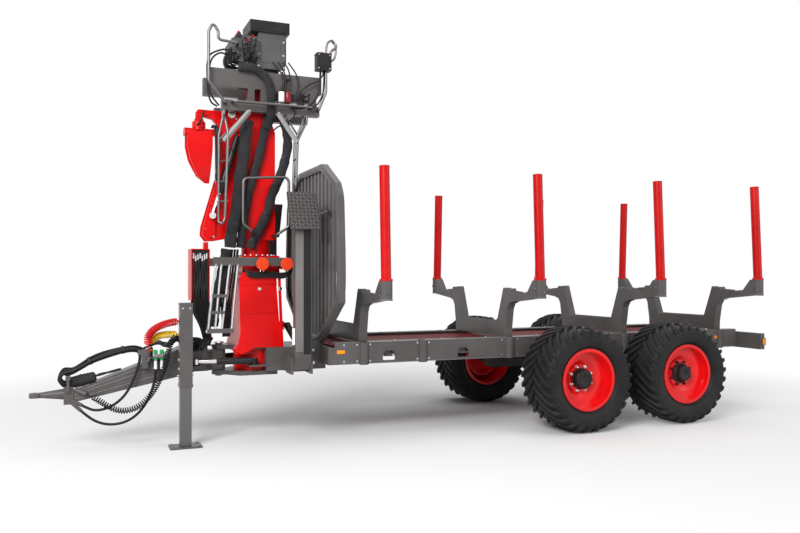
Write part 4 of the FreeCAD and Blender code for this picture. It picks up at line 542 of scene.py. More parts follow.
for end, axle, side, middle in WHEELS:
    sign = 1 if middle > 0 else -1
    out, face = (0, sign, 0), HUB_FACE[end]
    cap = [lathe(CAP_OUTLINE[end], (axle, sign * face, AXLE_HEIGHT), out, steps=48)]
    for way in round_wheel(CAP_RIBS):
        rib = [Vector((axle, sign * (face + high), AXLE_HEIGHT)) + way * reach
               for high, reach in ((0.02, RIB_FOOT[end]), (0.062, RIB_TOP[end]))]
        cap.append(pipe(rib, 0.0035, sides=6))
    join_up(f"hub_cap_{end}_{side}", cap, "cap_black", f"wheel_{end}_{side}")
    bolts = []
    for way in round_wheel(WHEEL_BOLTS, 0.5):
        spot = Vector((axle, sign * (face - 0.0005), AXLE_HEIGHT)) + way * BOLT_RING
        bolts.append(hex_bolt(spot, out, 0.0125, 0.014))
        bolts.append(lathe([(0.014, 0.008), (0.026, 0.008), (0.028, 0.006), (0.028, 0.0)],
                           spot, out, steps=12, solid=False))
    join_up(f"wheel_bolts_{end}_{side}", bolts, BOLT_FINISH[end], f"wheel_{end}_{side}")
print("hub caps and", 4 * WHEEL_BOLTS, "wheel bolts fitted")

# %% [markdown]
# The crane's hoses travel in flat woven sleeves that hang from the top and bend with the mast. A
# sleeve is an oval tube along a smooth line. It swells a little between the straps that hold it,
# and its woven bump makes the cloth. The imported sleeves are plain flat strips, which these replace.

# %% Woven sleeves on the mast
FIRST_STRAP, STRAP_EVERY = 7, 14


def sleeve(name, corners, half_width, thin, body):
    """An oval woven tube along corners, pulled in by a strap at even steps."""
    line = smooth_line(corners, steps=8)
    widths, straps = [], []
    for index in range(len(line)):
        pulled = 0.10 if index % STRAP_EVERY == FIRST_STRAP else 0.0
        widths.append(half_width * (1.0 + 0.06 * sin(index * 0.9) - pulled))
    cloth = join_up(name, [pipe(line, widths, sides=20, flat=thin)], "sleeve_cloth", body)
    for index in range(FIRST_STRAP, len(line) - 2, STRAP_EVERY):
        ahead = (line[index + 1] - line[index - 1]).normalized() * 0.008
        straps.append(pipe([line[index] - ahead, line[index] + ahead], half_width * 0.96,
                           sides=20, flat=thin * 1.12))
    join_up(f"{name}_straps", straps, "cap_black", body)
    return cloth


broad_sleeve = sleeve("broad_sleeve", [
    (1.95, 0.222, 2.99), (1.975, 0.222, 2.9), (1.992, 0.222, 2.7), (2.03, 0.222, 2.424),
    (2.062, 0.222, 2.142), (2.105, 0.222, 1.935), (2.12, 0.222, 1.792)], 0.056, 0.36, "mast")
sleeve("middle_sleeve", [
    (1.728, 0.185, 3.47), (1.73, 0.182, 3.345), (1.742, 0.178, 3.11), (1.792, 0.172, 2.887),
    (1.848, 0.172, 2.627), (1.905, 0.172, 2.434), (1.945, 0.172, 2.291), (1.985, 0.172, 2.06),
    (2.014, 0.172, 1.792)], 0.042, 0.42, "mast")
sleeve("rear_sleeve", [
    (1.6, 0.16, 3.02), (1.568, 0.165, 2.901), (1.562, 0.165, 2.767), (1.6, 0.17, 2.59),
    (1.65, 0.172, 2.444), (1.715, 0.172, 2.298), (1.76, 0.172, 2.13), (1.83, 0.175, 1.975),
    (1.9, 0.175, 1.85), (1.915, 0.175, 1.792)], 0.045, 0.55, "mast")
sleeve("far_sleeve", [
    (1.7, -0.245, 3.06), (1.69, -0.245, 2.9), (1.7, -0.245, 2.6), (1.73, -0.245, 2.3),
    (1.79, -0.24, 2.05), (1.85, -0.235, 1.88)], 0.05, 0.45, "mast")
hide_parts("hose_sleeves")
print("four woven sleeves hung on the mast")

# %% [markdown]
# Below the turning joint the same hoses run down inside the foot's ladder to the hose cabinet.
# They stay with the frame, and stop just under the turning parts.

# %% Hoses under the turning joint
UNDER_JOINT = 1.777
sleeve("lower_sleeve", [
    (2.146, 0.205, UNDER_JOINT), (2.16, 0.205, 1.69), (2.185, 0.205, 1.56), (2.215, 0.2, 1.42),
    (2.245, 0.19, 1.28), (2.26, 0.17, 1.16), (2.262, 0.15, 1.06)], 0.052, 0.42, "frame")
foot_hoses = []
for number in range(5):
    shift = 0.026 * number
    foot_hoses.append(hose([
        (2.035 + shift, 0.15, UNDER_JOINT), (2.045 + shift, 0.152, 1.69),
        (2.06 + shift, 0.156 + 0.006 * number, 1.56), (2.085 + shift, 0.16, 1.4),
        (2.1 + shift * 0.8, 0.15, 1.24), (2.105 + shift * 0.6, 0.135, 1.09),
        (2.11 + shift * 0.5, 0.12, 0.96)], 0.011, sides=10))
join_up("foot_hoses", foot_hoses, "hose_black", "frame")
print("hoses run down the foot:", len(foot_hoses))

# %% Hoses in the open cabinet
join_up("cabinet_core", [block((2.3185, -0.0715, 1.328), (2.4215, 0.0715, 1.771))], "cap_black",
        "frame", bevel=0.012)
cabinet_hoses, cabinet_fittings = [], []
for sign in (1, -1):
    for number in range(8):
        x = 2.306 + 0.0185 * number
        wave = 0.006 * sin(1.7 * number)
        cabinet_hoses.append(hose([
            (x, sign * 0.088, 1.768), (x + wave, sign * 0.094, 1.64),
            (x - wave, sign * 0.09, 1.5), (x + wave, sign * 0.094, 1.38),
            (x - 0.012, sign * 0.088, 1.29), (x - 0.03, sign * 0.08, 1.18),
            (x * 0.55 + 1.01, sign * 0.07, 1.06), (x * 0.35 + 1.46, sign * 0.06, 0.93)], 0.0098))
for number in range(7):
    for sign in (1, -1):
        cabinet_fittings.append(lathe(
            [(0, 0.012), (0.022, 0.012), (0.024, 0.01), (0.05, 0.01)],
            (2.312 + 0.02 * number, sign * 0.094, 1.69 - 0.012 * (number % 3)), (0, 0, 1), 12))
join_up("cabinet_hoses", cabinet_hoses, "hose_black", "frame")
join_up("cabinet_fittings", cabinet_fittings, "zinc_steel", "frame")
print("hoses in the cabinet:", len(cabinet_hoses))

# %% [markdown]
# A loop of hose hangs beside the folded boom, and feeds the grapple. Both of its ends sit on the
# outer boom, so it moves with that. Two short hoses bridge the link above the grapple.

# %% Grapple hoses
boom_hoses, link_hoses = [], []
for shift in (0.0, 0.026):
    boom_hoses.append(hose([
        (2.262 - shift, 0.062, 2.925), (2.252 - shift, 0.095, 2.935),
        (2.24 - shift, 0.118, 2.88), (2.236 - shift, 0.13, 2.76),
        (2.234 - shift, 0.15, 2.6), (2.228 - shift * 0.5, 0.16, 2.47 + shift),
        (2.222, 0.15, 2.42 + shift), (2.222, 0.1, 2.425 + shift),
        (2.222, 0.058, 2.46 + shift)], 0.0115, steps=8, sides=12))
for sign in (1, -1):
    link_hoses.append(hose([
        (2.345, sign * 0.052, 3.05), (2.338, sign * 0.078, 3.07), (2.352, sign * 0.088, 3.03),
        (2.372, sign * 0.086, 2.975), (2.392, sign * 0.07, 2.945), (2.4, sign * 0.04, 2.935)],
        0.0085, sides=10))
join_up("boom_hoses", boom_hoses, "hose_black", "stick")
join_up("link_hoses", link_hoses, "hose_black", "tip_link")
print("grapple hoses:", len(boom_hoses) + len(link_hoses))

# %% [markdown]
# Small parts make a crane look like one: pins with two bolts beside them, light-grey braces
# under the platform, orange caps on the slewing cylinders, and grease nipples.

# %% Braces and pins on the crane
braces = []
for start, end in (((1.965, 0.322, 3.05), (2.195, 0.322, 2.765)),
                   ((1.69, 0.322, 3.05), (1.515, 0.322, 2.8))):
    line = [Vector(start), Vector(end)]
    braces.append(pipe(line, 0.024, sides=4))
    braces += [hex_bolt(spot + Vector((0, 0.02, 0)), (0, 1, 0), 0.011) for spot in line]
join_up("platform_braces", braces, "pale_grey", "mast", bevel=0.002)


def pin_end(at, axis, radius, high=0.01):
    """The end of a pivot pin: a chamfered disc with a sunk middle, and two bolts beside it."""
    side = Vector(axis).normalized().orthogonal().normalized()
    disc = lathe([(0, radius), (high * 0.6, radius), (high, radius * 0.86), (high, radius * 0.22),
                  (high * 0.6, radius * 0.16)], at, axis)
    return [disc] + [hex_bolt(Vector(at) + side * radius * 1.55 * turn, axis, 0.008, 0.006)
                     for turn in (1, -1)]


for name, (x, y, z), radius, body in (
        ("boom_pin", (2.085, 0.1145, 3.05), 0.036, "mast"),
        ("knuckle_pin", (2.285, 0.0915, 1.93), 0.032, "main_boom")):
    ends = [pin_end((x, sign * y, z), (0, sign, 0), radius) for sign in (1, -1)]
    join_up(name, ends[0] + ends[1], "bright_steel", body)
print("braces:", len(braces) // 3, "and crane pins dressed")

# %% Grease nipples and the slewing cylinders' caps
NIPPLE = [(0, 0.007), (0.006, 0.007), (0.008, 0.004), (0.014, 0.0035), (0.018, 0.0045),
          (0.021, 0.003)]
SLEW_CAP = [(0, 0.0585), (0.003, 0.0595), (0.006, 0.0585), (0.007, 0.052), (0.0075, 0.0)]
caps, nipples = [], []
for x in (1.845, 1.615):
    for sign in (1, -1):
        caps.append(lathe(SLEW_CAP, (x, sign * 0.3515, 1.64), (0, sign, 0), 40))
        nipples.append(lathe(NIPPLE, (x - 0.012, sign * 0.338, 1.586), (0, 0, -1), 10))
        nipples.append(lathe(NIPPLE, (x + 0.014, sign * 0.338, 1.586), (0.3, 0, -1), 10))
join_up("slewing_caps", caps, "cap_orange", "frame")
join_up("grease_nipples", nipples, "bright_steel", "frame")
print("slewing caps:", len(caps), "nipples:", len(nipples))

# %% Plugs of the crane's foot and bolts of its ring
PLUG = [(0, 0.019), (0.006, 0.019), (0.012, 0.013), (0.013, 0.0)]
RING_BOLTS, RING_RADIUS = 20, 0.178
plugs, ring_bolts = [], []
for x, y in ((1.854, 0.28), (1.666, 0.296)):
    for sign in (1, -1):
        plugs.append(lathe(PLUG, (x, sign * y, 1.408), (0, sign, 0), 20))
for number in range(RING_BOLTS):
    turn = 2 * pi * (number + 0.5) / RING_BOLTS
    ring_bolts.append(hex_bolt((1.835 + RING_RADIUS * cos(turn), RING_RADIUS * sin(turn), 1.72),
                               (0, 0, 1), 0.01))
join_up("foot_plugs", plugs, "bright_steel", "frame")
join_up("ring_bolts", ring_bolts, "zinc_steel", "frame")
print("foot plugs and ring bolts:", len(plugs), len(ring_bolts))

# %% Hoses under the carrier bar
carrier_hoses = []
for number in range(4):
    sag, out = 0.014 * number, 0.004 * number
    carrier_hoses.append(hose([
        (1.985, 0.262, 1.6), (1.965, 0.284 + out, 1.572 - sag), (1.88, 0.29 + out, 1.556 - sag),
        (1.76, 0.292 + out, 1.562 - sag), (1.64, 0.29 + out, 1.552 - sag),
        (1.56, 0.28, 1.575 - sag * 0.5), (1.54, 0.262, 1.612)], 0.0085, steps=8))
join_up("carrier_hoses", carrier_hoses, "hose_black", "frame")
print("carrier hoses:", len(carrier_hoses))

# %% [markdown]
# The valve block sits on top of the mast under a black lid. Its sections are stacked like slices,
# each with a spool that ends in a fitting, and a crowd of thin hoses leaves below it.

# %% Side plates of the valve block
side_plates, plate_bolts = [], []
for sign in (1, -1):
    outer = sign * 0.1745
    side_plates.append(block((1.59, outer, 3.5), (1.862, sign * 0.1605, 3.79)))
    side_plates.append(block((1.636, outer, 3.56), (1.82, outer + sign * 0.004, 3.745)))
    plate_bolts += [hex_bolt((x, outer, z), (0, sign, 0), 0.01)
                    for x in (1.606, 1.846) for z in (3.52, 3.64, 3.768)]
join_up("valve_side_plates", side_plates, "valve_grey", "mast", bevel=0.004)
join_up("valve_plate_bolts", plate_bolts, "bright_steel", "mast")
print("side plates:", len(side_plates), "bolts:", len(plate_bolts))

# %% Fittings on the spool bank
bank_fittings, bank_tags, bank_tails = [], [], []
for row in range(4):
    for column in range(3):
        spot = Vector((1.888 + 0.045 * column, 0.2005, 3.625 + 0.046 * row))
        wide = 0.0105 + 0.0025 * sin(2.9 * row + 1.7 * column)
        bank_fittings.append(lathe([(0, wide * 1.2), (0.01, wide * 1.2), (0.011, wide),
                                    (0.03, wide), (0.032, 0.0)], spot, (0, 1, 0), 8))
        bank_fittings.append(lathe([(0, 0.016), (0.012, 0.016), (0.013, 0.011), (0.03, 0.011),
                                    (0.032, 0.0)], spot - Vector((0, 0.401, 0)), (0, -1, 0), 8))
        bend = 0.018 * sin(1.3 * row + 2.2 * column)
        bank_tails.append(hose([
            spot + Vector((0, 0.028, 0)), spot + Vector((0.002 + bend * 0.3, 0.05, -0.004)),
            spot + Vector((0.012 + bend, 0.058, -0.034)),
            spot + Vector((0.02 + bend, 0.046, -0.078)),
            Vector((1.952 + bend * 2, 0.205, 3.56 - 0.012 * row))], 0.0062, steps=5))
        if (row + column) % 3 == 0:
            bank_tags.append(lathe([(0, 0.009), (0.03, 0.008), (0.031, 0.0)],
                                   spot + Vector((0.02, 0, 0.022)), (0, 1, 0), 12))
join_up("bank_fittings", bank_fittings, "satin_bar", "mast")
join_up("bank_tails", bank_tails, "hose_black", "mast")
join_up("bank_tags", bank_tags, "crane_red", "mast")
print("bank fittings:", len(bank_fittings))

# %% Caps on the spools
SPOOL_CAP = [(0, 0.021), (0.03, 0.021), (0.032, 0.016), (0.058, 0.015), (0.06, 0.0)]
SPOOL_TIP = [(0, 0.01), (0.01, 0.01), (0.012, 0.0)]
places = [0.15 - 0.058 * number for number in range(5)]
spool_caps = [lathe(SPOOL_CAP, (2.01, y, 3.772), (0.35, 0, 1), 12) for y in places]
spool_tips = [lathe(SPOOL_TIP, (2.031, y, 3.83), (0.35, 0, 1), 10) for y in places]
join_up("spool_caps", spool_caps, "cap_black", "mast")
join_up("spool_tips", spool_tips, "crane_red", "mast")
print("spool caps:", len(spool_caps))

# %% Lid over the valve block
lid = [block((1.5465, -0.1812, 3.849), (1.9265, 0.1812, 3.9585))]
for number in range(9):
    x = 1.58 + 0.038 * number
    lid.append(block((x, -0.15, 3.956), (x + 0.014, 0.15, 3.9595)))
for sign in (1, -1):
    lid.append(block((1.566, sign * 0.18, 3.866), (1.906, sign * 0.184, 3.946)))
join_up("lid_ribs", lid, "cap_black", "mast", bevel=0.0015)
print("parts of the lid:", len(lid))

# %% Spool ends and their pipes
SPOOL_END = [(0, 0.015), (0.01, 0.015), (0.011, 0.01), (0.026, 0.01), (0.027, 0.013),
             (0.04, 0.013), (0.041, 0.0)]
SPOOL_PITCH, SPOOL_FIRST = 0.066, -0.165
spool_fittings, valve_hoses = [], []
for number in range(6):
    y = SPOOL_FIRST + SPOOL_PITCH * number
    spool_fittings += [lathe(SPOOL_END, (2.0105, y, z), (1, 0, 0), 8) for z in (3.63, 3.69, 3.752)]
    for row, z in enumerate((3.63, 3.69)):
        out = 2.075 + 0.02 * row + 0.008 * sin(3.7 * number)
        side = 0.06 * sin(1.9 * number + row)
        low_x = 1.975 + 0.04 * sin(2.3 * number + row)
        valve_hoses.append(hose([
            (2.05, y, z), (out, y, z - 0.01), (out + 0.018, y, z - 0.07),
            (out + 0.004, y + side * 0.4, 3.552), (low_x + 0.04, y * 0.95 + side * 0.5, 3.537)],
            0.0095))
join_up("spool_fittings", spool_fittings, "zinc_steel", "mast")
join_up("valve_hoses", valve_hoses, "hose_black", "mast")
print("valve hoses:", len(valve_hoses))

# %% Hoses that hang from the valve block to the mast
platform_hoses = []
for number in range(8):
    sign = 1 if number % 2 else -1
    wave = sin(2.7 * number)
    x = 1.53 + 0.026 * number
    platform_hoses.append(hose([
        (x, sign * 0.172, 3.58), (x - 0.03, sign * (0.205 + 0.012 * wave), 3.52),
        (x - 0.07 + 0.03 * wave, sign * 0.262, 3.44),
        (x - 0.085 + 0.05 * wave, sign * (0.276 + 0.01 * wave), 3.33),
        (x - 0.04 + 0.02 * wave, sign * 0.268, 3.21), (x + 0.02, sign * 0.215, 3.17)], 0.0072))
join_up("platform_hoses", platform_hoses, "hose_black", "mast")
print("platform hoses:", len(platform_hoses))

# %% Sight tube between the platform's trays
join_up("sight_tube_white", [lathe([(0, 0.026), (0.004, 0.028), (0.09, 0.028), (0.094, 0.026)],
                                   (1.652, 0.285, 3.172), (0, 0, 1), 24)], "clean_white", "mast")
join_up("sight_tube_red", [lathe([(0, 0.028), (0.004, 0.03), (0.096, 0.03), (0.1, 0.028)],
                                 (1.59, 0.285, 3.168), (0, 0, 1), 24)], "wine_red", "mast")
print("sight tube fitted")

# %% Bundle over the platform beam
sleeve("top_sleeve", [
    (2.055, 0.27, 3.47), (2.0, 0.285, 3.465), (1.932, 0.29, 3.468), (1.862, 0.29, 3.44),
    (1.8, 0.29, 3.385), (1.762, 0.288, 3.3), (1.75, 0.28, 3.2), (1.745, 0.262, 3.085),
    (1.752, 0.235, 3.0), (1.775, 0.2, 2.93)], 0.04, 0.55, "mast")
side_hoses = [hose(route, radius, steps=8, sides=10) for radius, route in (
    (0.008, [(2.14, 0.18, 3.64), (2.204, 0.235, 3.62), (2.304, 0.25, 3.565),
             (2.335, 0.25, 3.485), (2.338, 0.25, 3.391), (2.33, 0.245, 3.228),
             (2.3, 0.235, 3.13), (2.24, 0.2, 3.1)]),
    (0.008, [(2.14, 0.16, 3.6), (2.22, 0.225, 3.59), (2.29, 0.238, 3.53), (2.315, 0.238, 3.44),
             (2.318, 0.238, 3.33), (2.3, 0.232, 3.2), (2.22, 0.19, 3.11)]),
    (0.01, [(1.269, 0.285, 3.499), (1.276, 0.292, 3.4), (1.29, 0.296, 3.29),
            (1.345, 0.298, 3.19), (1.44, 0.298, 3.13), (1.54, 0.296, 3.125),
            (1.62, 0.29, 3.18), (1.65, 0.28, 3.27), (1.62, 0.262, 3.35), (1.575, 0.256, 3.4)]),
    (0.008, [(1.235, 0.29, 3.499), (1.24, 0.3, 3.38), (1.255, 0.306, 3.27),
             (1.31, 0.306, 3.17), (1.4, 0.3, 3.12)]),
    (0.007, [(1.56, 0.262, 3.16), (1.52, 0.285, 3.08), (1.56, 0.3, 3.01), (1.64, 0.3, 2.96),
             (1.69, 0.27, 2.93), (1.7, 0.2, 2.92)]))]
join_up("side_hoses", side_hoses, "hose_black", "mast")
LEVER_LOOP = [(1.222, 3.64), (1.222, 3.705), (1.208, 3.77), (1.165, 3.8), (1.132, 3.76),
              (1.126, 3.69), (1.142, 3.625), (1.18, 3.6), (1.222, 3.622)]
join_up("lever_loop", [hose([(x, 0.318, z) for x, z in LEVER_LOOP], 0.0105, steps=8, sides=12)],
        "satin_bar", "mast")
print("side hoses:", len(side_hoses))

# %% Control box with its button and lead
BUTTON = [(0, 0.02), (0.006, 0.02), (0.01, 0.026), (0.016, 0.026), (0.02, 0.02), (0.021, 0.0)]
join_up("stop_button", [lathe(BUTTON, (1.262, 0.305, 3.658), (0, 0, 1), 24)], "crane_red", "mast")
join_up("control_box_shell", [block((1.178, 0.26, 3.497), (1.322, 0.354, 3.652)),
                              block((1.176, 0.258, 3.645), (1.324, 0.356, 3.664)),
                              block((1.196, 0.354, 3.53), (1.304, 0.357, 3.6))],
        "cap_black", "mast", bevel=0.004)
screws = [hex_bolt((x, 0.3535, z), (0, 1, 0), 0.006, 0.004)
          for x in (1.195, 1.305) for z in (3.515, 3.645)]
join_up("control_box_screws", screws, "bright_steel", "mast")
join_up("control_lead", [hose([
    (1.25, 0.3, 3.499), (1.252, 0.3, 3.46), (1.3, 0.296, 3.4), (1.38, 0.29, 3.36),
    (1.45, 0.282, 3.3), (1.52, 0.27, 3.21), (1.58, 0.262, 3.17)], 0.007, steps=8)],
    "hose_black", "mast")
print("control box finished with", len(screws), "screws")

# %% [markdown]
# The crane's foot is a folded and welded box. A lip runs round its upper edge, another lies lower
# down, and a lug below carries the steering gear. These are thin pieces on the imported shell.

# %% Lips and lug of the foot
FOOT_SIDE, LUG_MIDDLE, LUG_RADIUS = 0.28, (2.047, 0.838), 0.044
foot_trim = []
for sign in (1, -1):
    near, far = sign * FOOT_SIDE, sign * (FOOT_SIDE + 0.006)
    foot_trim.append(block((1.692, near, 1.446), (2.034, far, 1.462)))
    foot_trim.append(block((1.69, near, 1.18), (2.036, far, 1.19)))
join_up("foot_trim", foot_trim, "crane_red", "frame", bevel=0.002)
eye_turns = [radians(angle) for angle in range(-110, 61, 17)]
lug = [(1.905, 0.8)]
lug += [(LUG_MIDDLE[0] + LUG_RADIUS * cos(turn), LUG_MIDDLE[1] + LUG_RADIUS * sin(turn))
        for turn in eye_turns]
lug += [(2.02, 0.925), (1.965, 0.985), (1.905, 0.985)]
plate = prism(*([Vector((x, y, z)) for x, z in lug] for y in (0.205, 0.221)))
join_up("foot_lug", [plate], "crane_red", "frame", bevel=0.003)
join_up("foot_lug_pin", pin_end((2.047, 0.221, 0.838), (0, 1, 0), 0.018), "bright_steel", "frame")
print("foot trim:", len(foot_trim) + 1)

# %% Reflectors and amber markers
RAIL_FACE, MARKER_FACE = 0.5855, 0.5925
white_parts, amber_parts = [], []
for near, far in (((1.628, 0.6905, 0.91), (1.652, 0.6935, 1.06)),
                  ((1.2925, 0.868, 1.4), (1.2965, 0.898, 1.56))):
    for sign in (1, -1):
        white_parts.append(block((near[0], sign * near[1], near[2]),
                                 (far[0], sign * far[1], far[2])))
join_up("white_reflectors", white_parts, "clean_white", "frame", bevel=0.001)
for sign in (1, -1):
    for x in (1.12, -1.6, -3.45):
        amber_parts.append(block((x, sign * RAIL_FACE, 0.8), (x + 0.08, sign * MARKER_FACE, 0.836)))
join_up("amber_reflectors", amber_parts, "amber", "frame", bevel=0.004)
print("reflectors:", len(white_parts) + len(amber_parts))

# %% [markdown]
# Tread plate has short raised bars in a herringbone, so that a boot grips it when wet. The same
# pattern covers both soles that cap the folded support legs. Each bar is a small bevelled block,
# turned by a quarter from its neighbours. The bars are a lighter grey than a dark sheet laid under
# them: painted highlight on the bars, and painted shade between them.

# %% Tread plate on the support legs' soles
SOLE_TILT, TREAD_PITCH = radians(23), 0.034


def rectangle(middle, long_way, wide_way, long, wide):
    """Four corners about a middle, half a length and half a width away."""
    return [middle + long_way * (a * long) + wide_way * (b * wide)
            for a, b in ((-1, -1), (1, -1), (1, 1), (-1, 1))]


def tread_bar(middle, slant, along, up, out):
    """One raised bar, at a slant on the sole."""
    long_way = along * cos(slant) + up * sin(slant)
    wide_way = up * cos(slant) - along * sin(slant)
    return prism(rectangle(middle + out * 0.001, long_way, wide_way, 0.013, 0.0035),
                 rectangle(middle + out * 0.0035, long_way, wide_way, 0.009, 0.0018))


for side, sign in (("left", 1), ("right", -1)):
    along = Vector((1, 0, 0))
    up = Vector((0, -sign * sin(SOLE_TILT), cos(SOLE_TILT)))
    out = Vector((0, sign * cos(SOLE_TILT), sin(SOLE_TILT)))
    middle = Vector((1.55, sign * 0.7, 2.115)) + out * 0.0068
    bars = []
    for row in range(11):
        for column in range(8):
            spot = middle + along * (TREAD_PITCH * (column - 3.5)) + up * (TREAD_PITCH * (row - 5))
            slant = radians(45 if (row + column) % 2 == 0 else -45)
            bars.append(tread_bar(spot, slant, along, up, out))
    # The skin is a dark sheet of painted shade under the bars, and the bars carry a painted
    # highlight.
    skin = prism(*(rectangle(middle + out * lift, along, up, 0.138, 0.183) for lift in (0, 0.0012)))
    join_up(f"sole_skin_{side}", [skin], "painted_shade_dark", f"support_leg_{side}", smooth=False)
    join_up(f"sole_tread_{side}", bars, "painted_highlight_grey", f"support_leg_{side}", smooth=False)
print("tread bars on a sole:", len(bars))

# %% Painted light and painted shade on the support legs
for side, sign in (("left", 1), ("right", -1)):
    inner, outer = sign * 0.6898, sign * 0.6918
    # The lighter sheet paints light on the lit part of each leg's outer face, and the black sheet
    # beside it paints shade.
    for name, near, far, finish in (
            ("face", (1.548, inner, 0.845), (1.622, outer, 1.93), "painted_highlight_grey"),
            ("shade", (1.478, inner, 0.82), (1.547, outer, 1.945), "cylinder_black")):
        join_up(f"leg_{name}_{side}", [block(near, far)], finish, f"support_leg_{side}",
                bevel=0.0008)
print("support legs faced")

# %% [markdown]
# The ladder beside the foot is bright round bar with dark treads clamped across it. The packed
# bars carry the treads, so the scene adds bright sleeves over them, and a nut at each end.

# %% Bright bars of the lower ladder
LADDER_Y, LADDER_BAR = 0.277, 0.0112
ladder_bars = []
for start, end in (((2.262, 1.628), (2.33, 1.022)), ((2.21, 1.628), (2.265, 1.032)),
                   ((2.135, 1.628), (2.205, 1.022)), ((2.06, 1.628), (2.115, 1.042))):
    line = [Vector((x, LADDER_Y, z)) for x, z in (start, end)]
    ladder_bars.append(pipe(line, LADDER_BAR, sides=14))
    ladder_bars += [lathe([(-0.01, 0.017), (0.01, 0.017)], spot, line[0] - line[1], 6)
                    for spot in line]
join_up("ladder_bars", ladder_bars, "rod_chrome", "frame")
print("ladder bars:", len(ladder_bars) // 3)

# %% [markdown]
# The headboard keeps logs off the crane. Its edge is one bent tube, welded at the foot. The packed
# frame has the flat outline, and oval tubes along both of its faces give it its rolled look.

# %% Bent tube round the headboard
GATE_RIGHT = [(0.31, 0.925), (0.9, 1.32), (0.902, 1.65), (0.858, 2.235), (0.79, 2.345),
              (0.4, 2.562)]
rim_corners = GATE_RIGHT + [(-y, z) for y, z in reversed(GATE_RIGHT)]


def rounded_run(corners, radius, at_x, steps=5):
    """A closed line of (y, z) corners with each corner rounded off."""
    spots = [Vector((at_x, *corner)) for corner in corners]
    line = []
    for before, here, after in zip(spots[-1:] + spots, spots, spots[1:] + spots[:1]):
        back, on = before - here, after - here
        reach = min(radius, back.length * 0.45, on.length * 0.45)
        first, last = here + back.normalized() * reach, here + on.normalized() * reach
        for s in range(steps + 1):
            t = s / steps
            line.append(first * (1 - t) ** 2 + here * 2 * t * (1 - t) + last * t * t)
    return line + line[:1]


tubes = [pipe(rounded_run(rim_corners, 0.16, x), 0.026, flat=0.45, across=(1, 0, 0))
         for x in (1.291, 1.233)]
join_up("headboard_tube", tubes, "frame_grey", "frame")
print("tubes round the headboard:", len(tubes))

# %% Latch on the headboard
latch = [pipe([(1.318, 0.473, 1.82), (1.318, 0.473, 2.15)], 0.01),
         pipe([(1.318, 0.43, 2.11), (1.318, 0.69, 2.118)], 0.011)]
latch += [lathe([(0, 0.02), (0.026, 0.02), (0.03, 0.016)], (1.292, y, z), (1, 0, 0), 16)
          for y, z in ((0.473, 1.86), (0.473, 2.07), (0.66, 2.117))]
join_up("headboard_latch", latch, "satin_bar", "frame")
print("latch parts:", len(latch))

# %% [markdown]
# Hoses from the tractor lie over the drawbar in a loose arch. They come out of the rack, curl over
# a rest behind the towing eye, and tuck back under a cloth cuff. Here they are separate hoses side
# by side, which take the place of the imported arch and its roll.

# %% Arch of hoses over the drawbar
ARCH = [(2.88, 0.845), (2.951, 0.868), (3.044, 0.862), (3.137, 0.842), (3.235, 0.811),
        (3.321, 0.774), (3.396, 0.728), (3.462, 0.694), (3.522, 0.686), (3.56, 0.65),
        (3.556, 0.6), (3.515, 0.575), (3.45, 0.59), (3.385, 0.612)]
ARCH_Y, CURL_STARTS = 0.04, 8
ARCH_HOSES = [(-0.036, 0.0, 0.0125), (-0.012, 0.01, 0.0125), (0.013, 0.004, 0.0125),
              (0.038, -0.004, 0.0125), (-0.022, -0.018, 0.011), (0.002, -0.014, 0.011),
              (0.026, -0.022, 0.011), (0.0, 0.024, 0.009)]
arch_hoses = []
for number, (side, lift, radius) in enumerate(ARCH_HOSES):
    run = []
    for index, (x, z) in enumerate(ARCH):
        wave = 0.004 * sin(1.3 * index + 2.1 * number)
        curl = -lift if index > CURL_STARTS else lift
        bend = lift * 0.7 if index in (CURL_STARTS, CURL_STARTS + 1) else 0.0
        run.append((x + bend, ARCH_Y - 0.004 * index * 0.3 + side + wave, z + curl + wave))
    arch_hoses.append(hose(run, radius, sides=10))
arch = join_up("arch_hoses", arch_hoses, "hose_black", "drawbar")
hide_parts("drawbar_sleeve")
print("hoses in the arch:", len(arch_hoses))

# %% Cuff, rest and straps of the arch
CUFF = smooth_line([(3.5, 0.036, 0.59), (3.455, 0.036, 0.592), (3.4, 0.036, 0.604),
                    (3.33, 0.038, 0.62), (3.27, 0.04, 0.636)], steps=5)
radii = [0.044 + 0.007 * sin(pi * i / (len(CUFF) - 1)) + 0.0015 * sin(2.6 * i)
         for i in range(len(CUFF))]
radii[0], radii[-1] = 0.03, 0.026
cuff = [pipe(CUFF, radii, sides=18, flat=0.95),
        pipe([(3.395, 0.036, 0.605), (3.378, 0.036, 0.609)], 0.0545, sides=18, flat=0.95)]
cuff += [hose([(3.29, 0.02 + 0.012 * number, 0.632),
               (3.23, 0.022 + 0.011 * number, 0.645 + 0.004 * number),
               (3.15, 0.02 + 0.01 * number, 0.668), (3.06, 0.018 + 0.009 * number, 0.69)],
              0.009, steps=5) for number in range(4)]
join_up("arch_cuff", cuff, "sleeve_cloth", "drawbar")
rest = [block((3.47, -0.012, 0.5), (3.53, 0.086, 0.56)),
        pipe([(3.5, -0.04, 0.632), (3.5, 0.112, 0.632)], 0.022, sides=16)]
rest += [block((3.488, y - 0.004, 0.52), (3.512, y + 0.004, 0.64)) for y in (-0.03, 0.104)]
join_up("arch_rest", rest, "frame_grey", "drawbar", bevel=0.002)
straps = []
for (x0, z0), (x1, z1) in (ARCH[2:4], ARCH[5:7]):
    ahead = Vector((x1 - x0, 0, z1 - z0)).normalized() * 0.011
    middle = Vector((x0, ARCH_Y, z0))
    straps.append(pipe([middle - ahead, middle + ahead], 0.036, sides=20, flat=1.6))
join_up("arch_straps", straps, "cap_black", "drawbar")
print("parts of the cuff, rest and straps:", len(cuff) + len(rest) + len(straps))

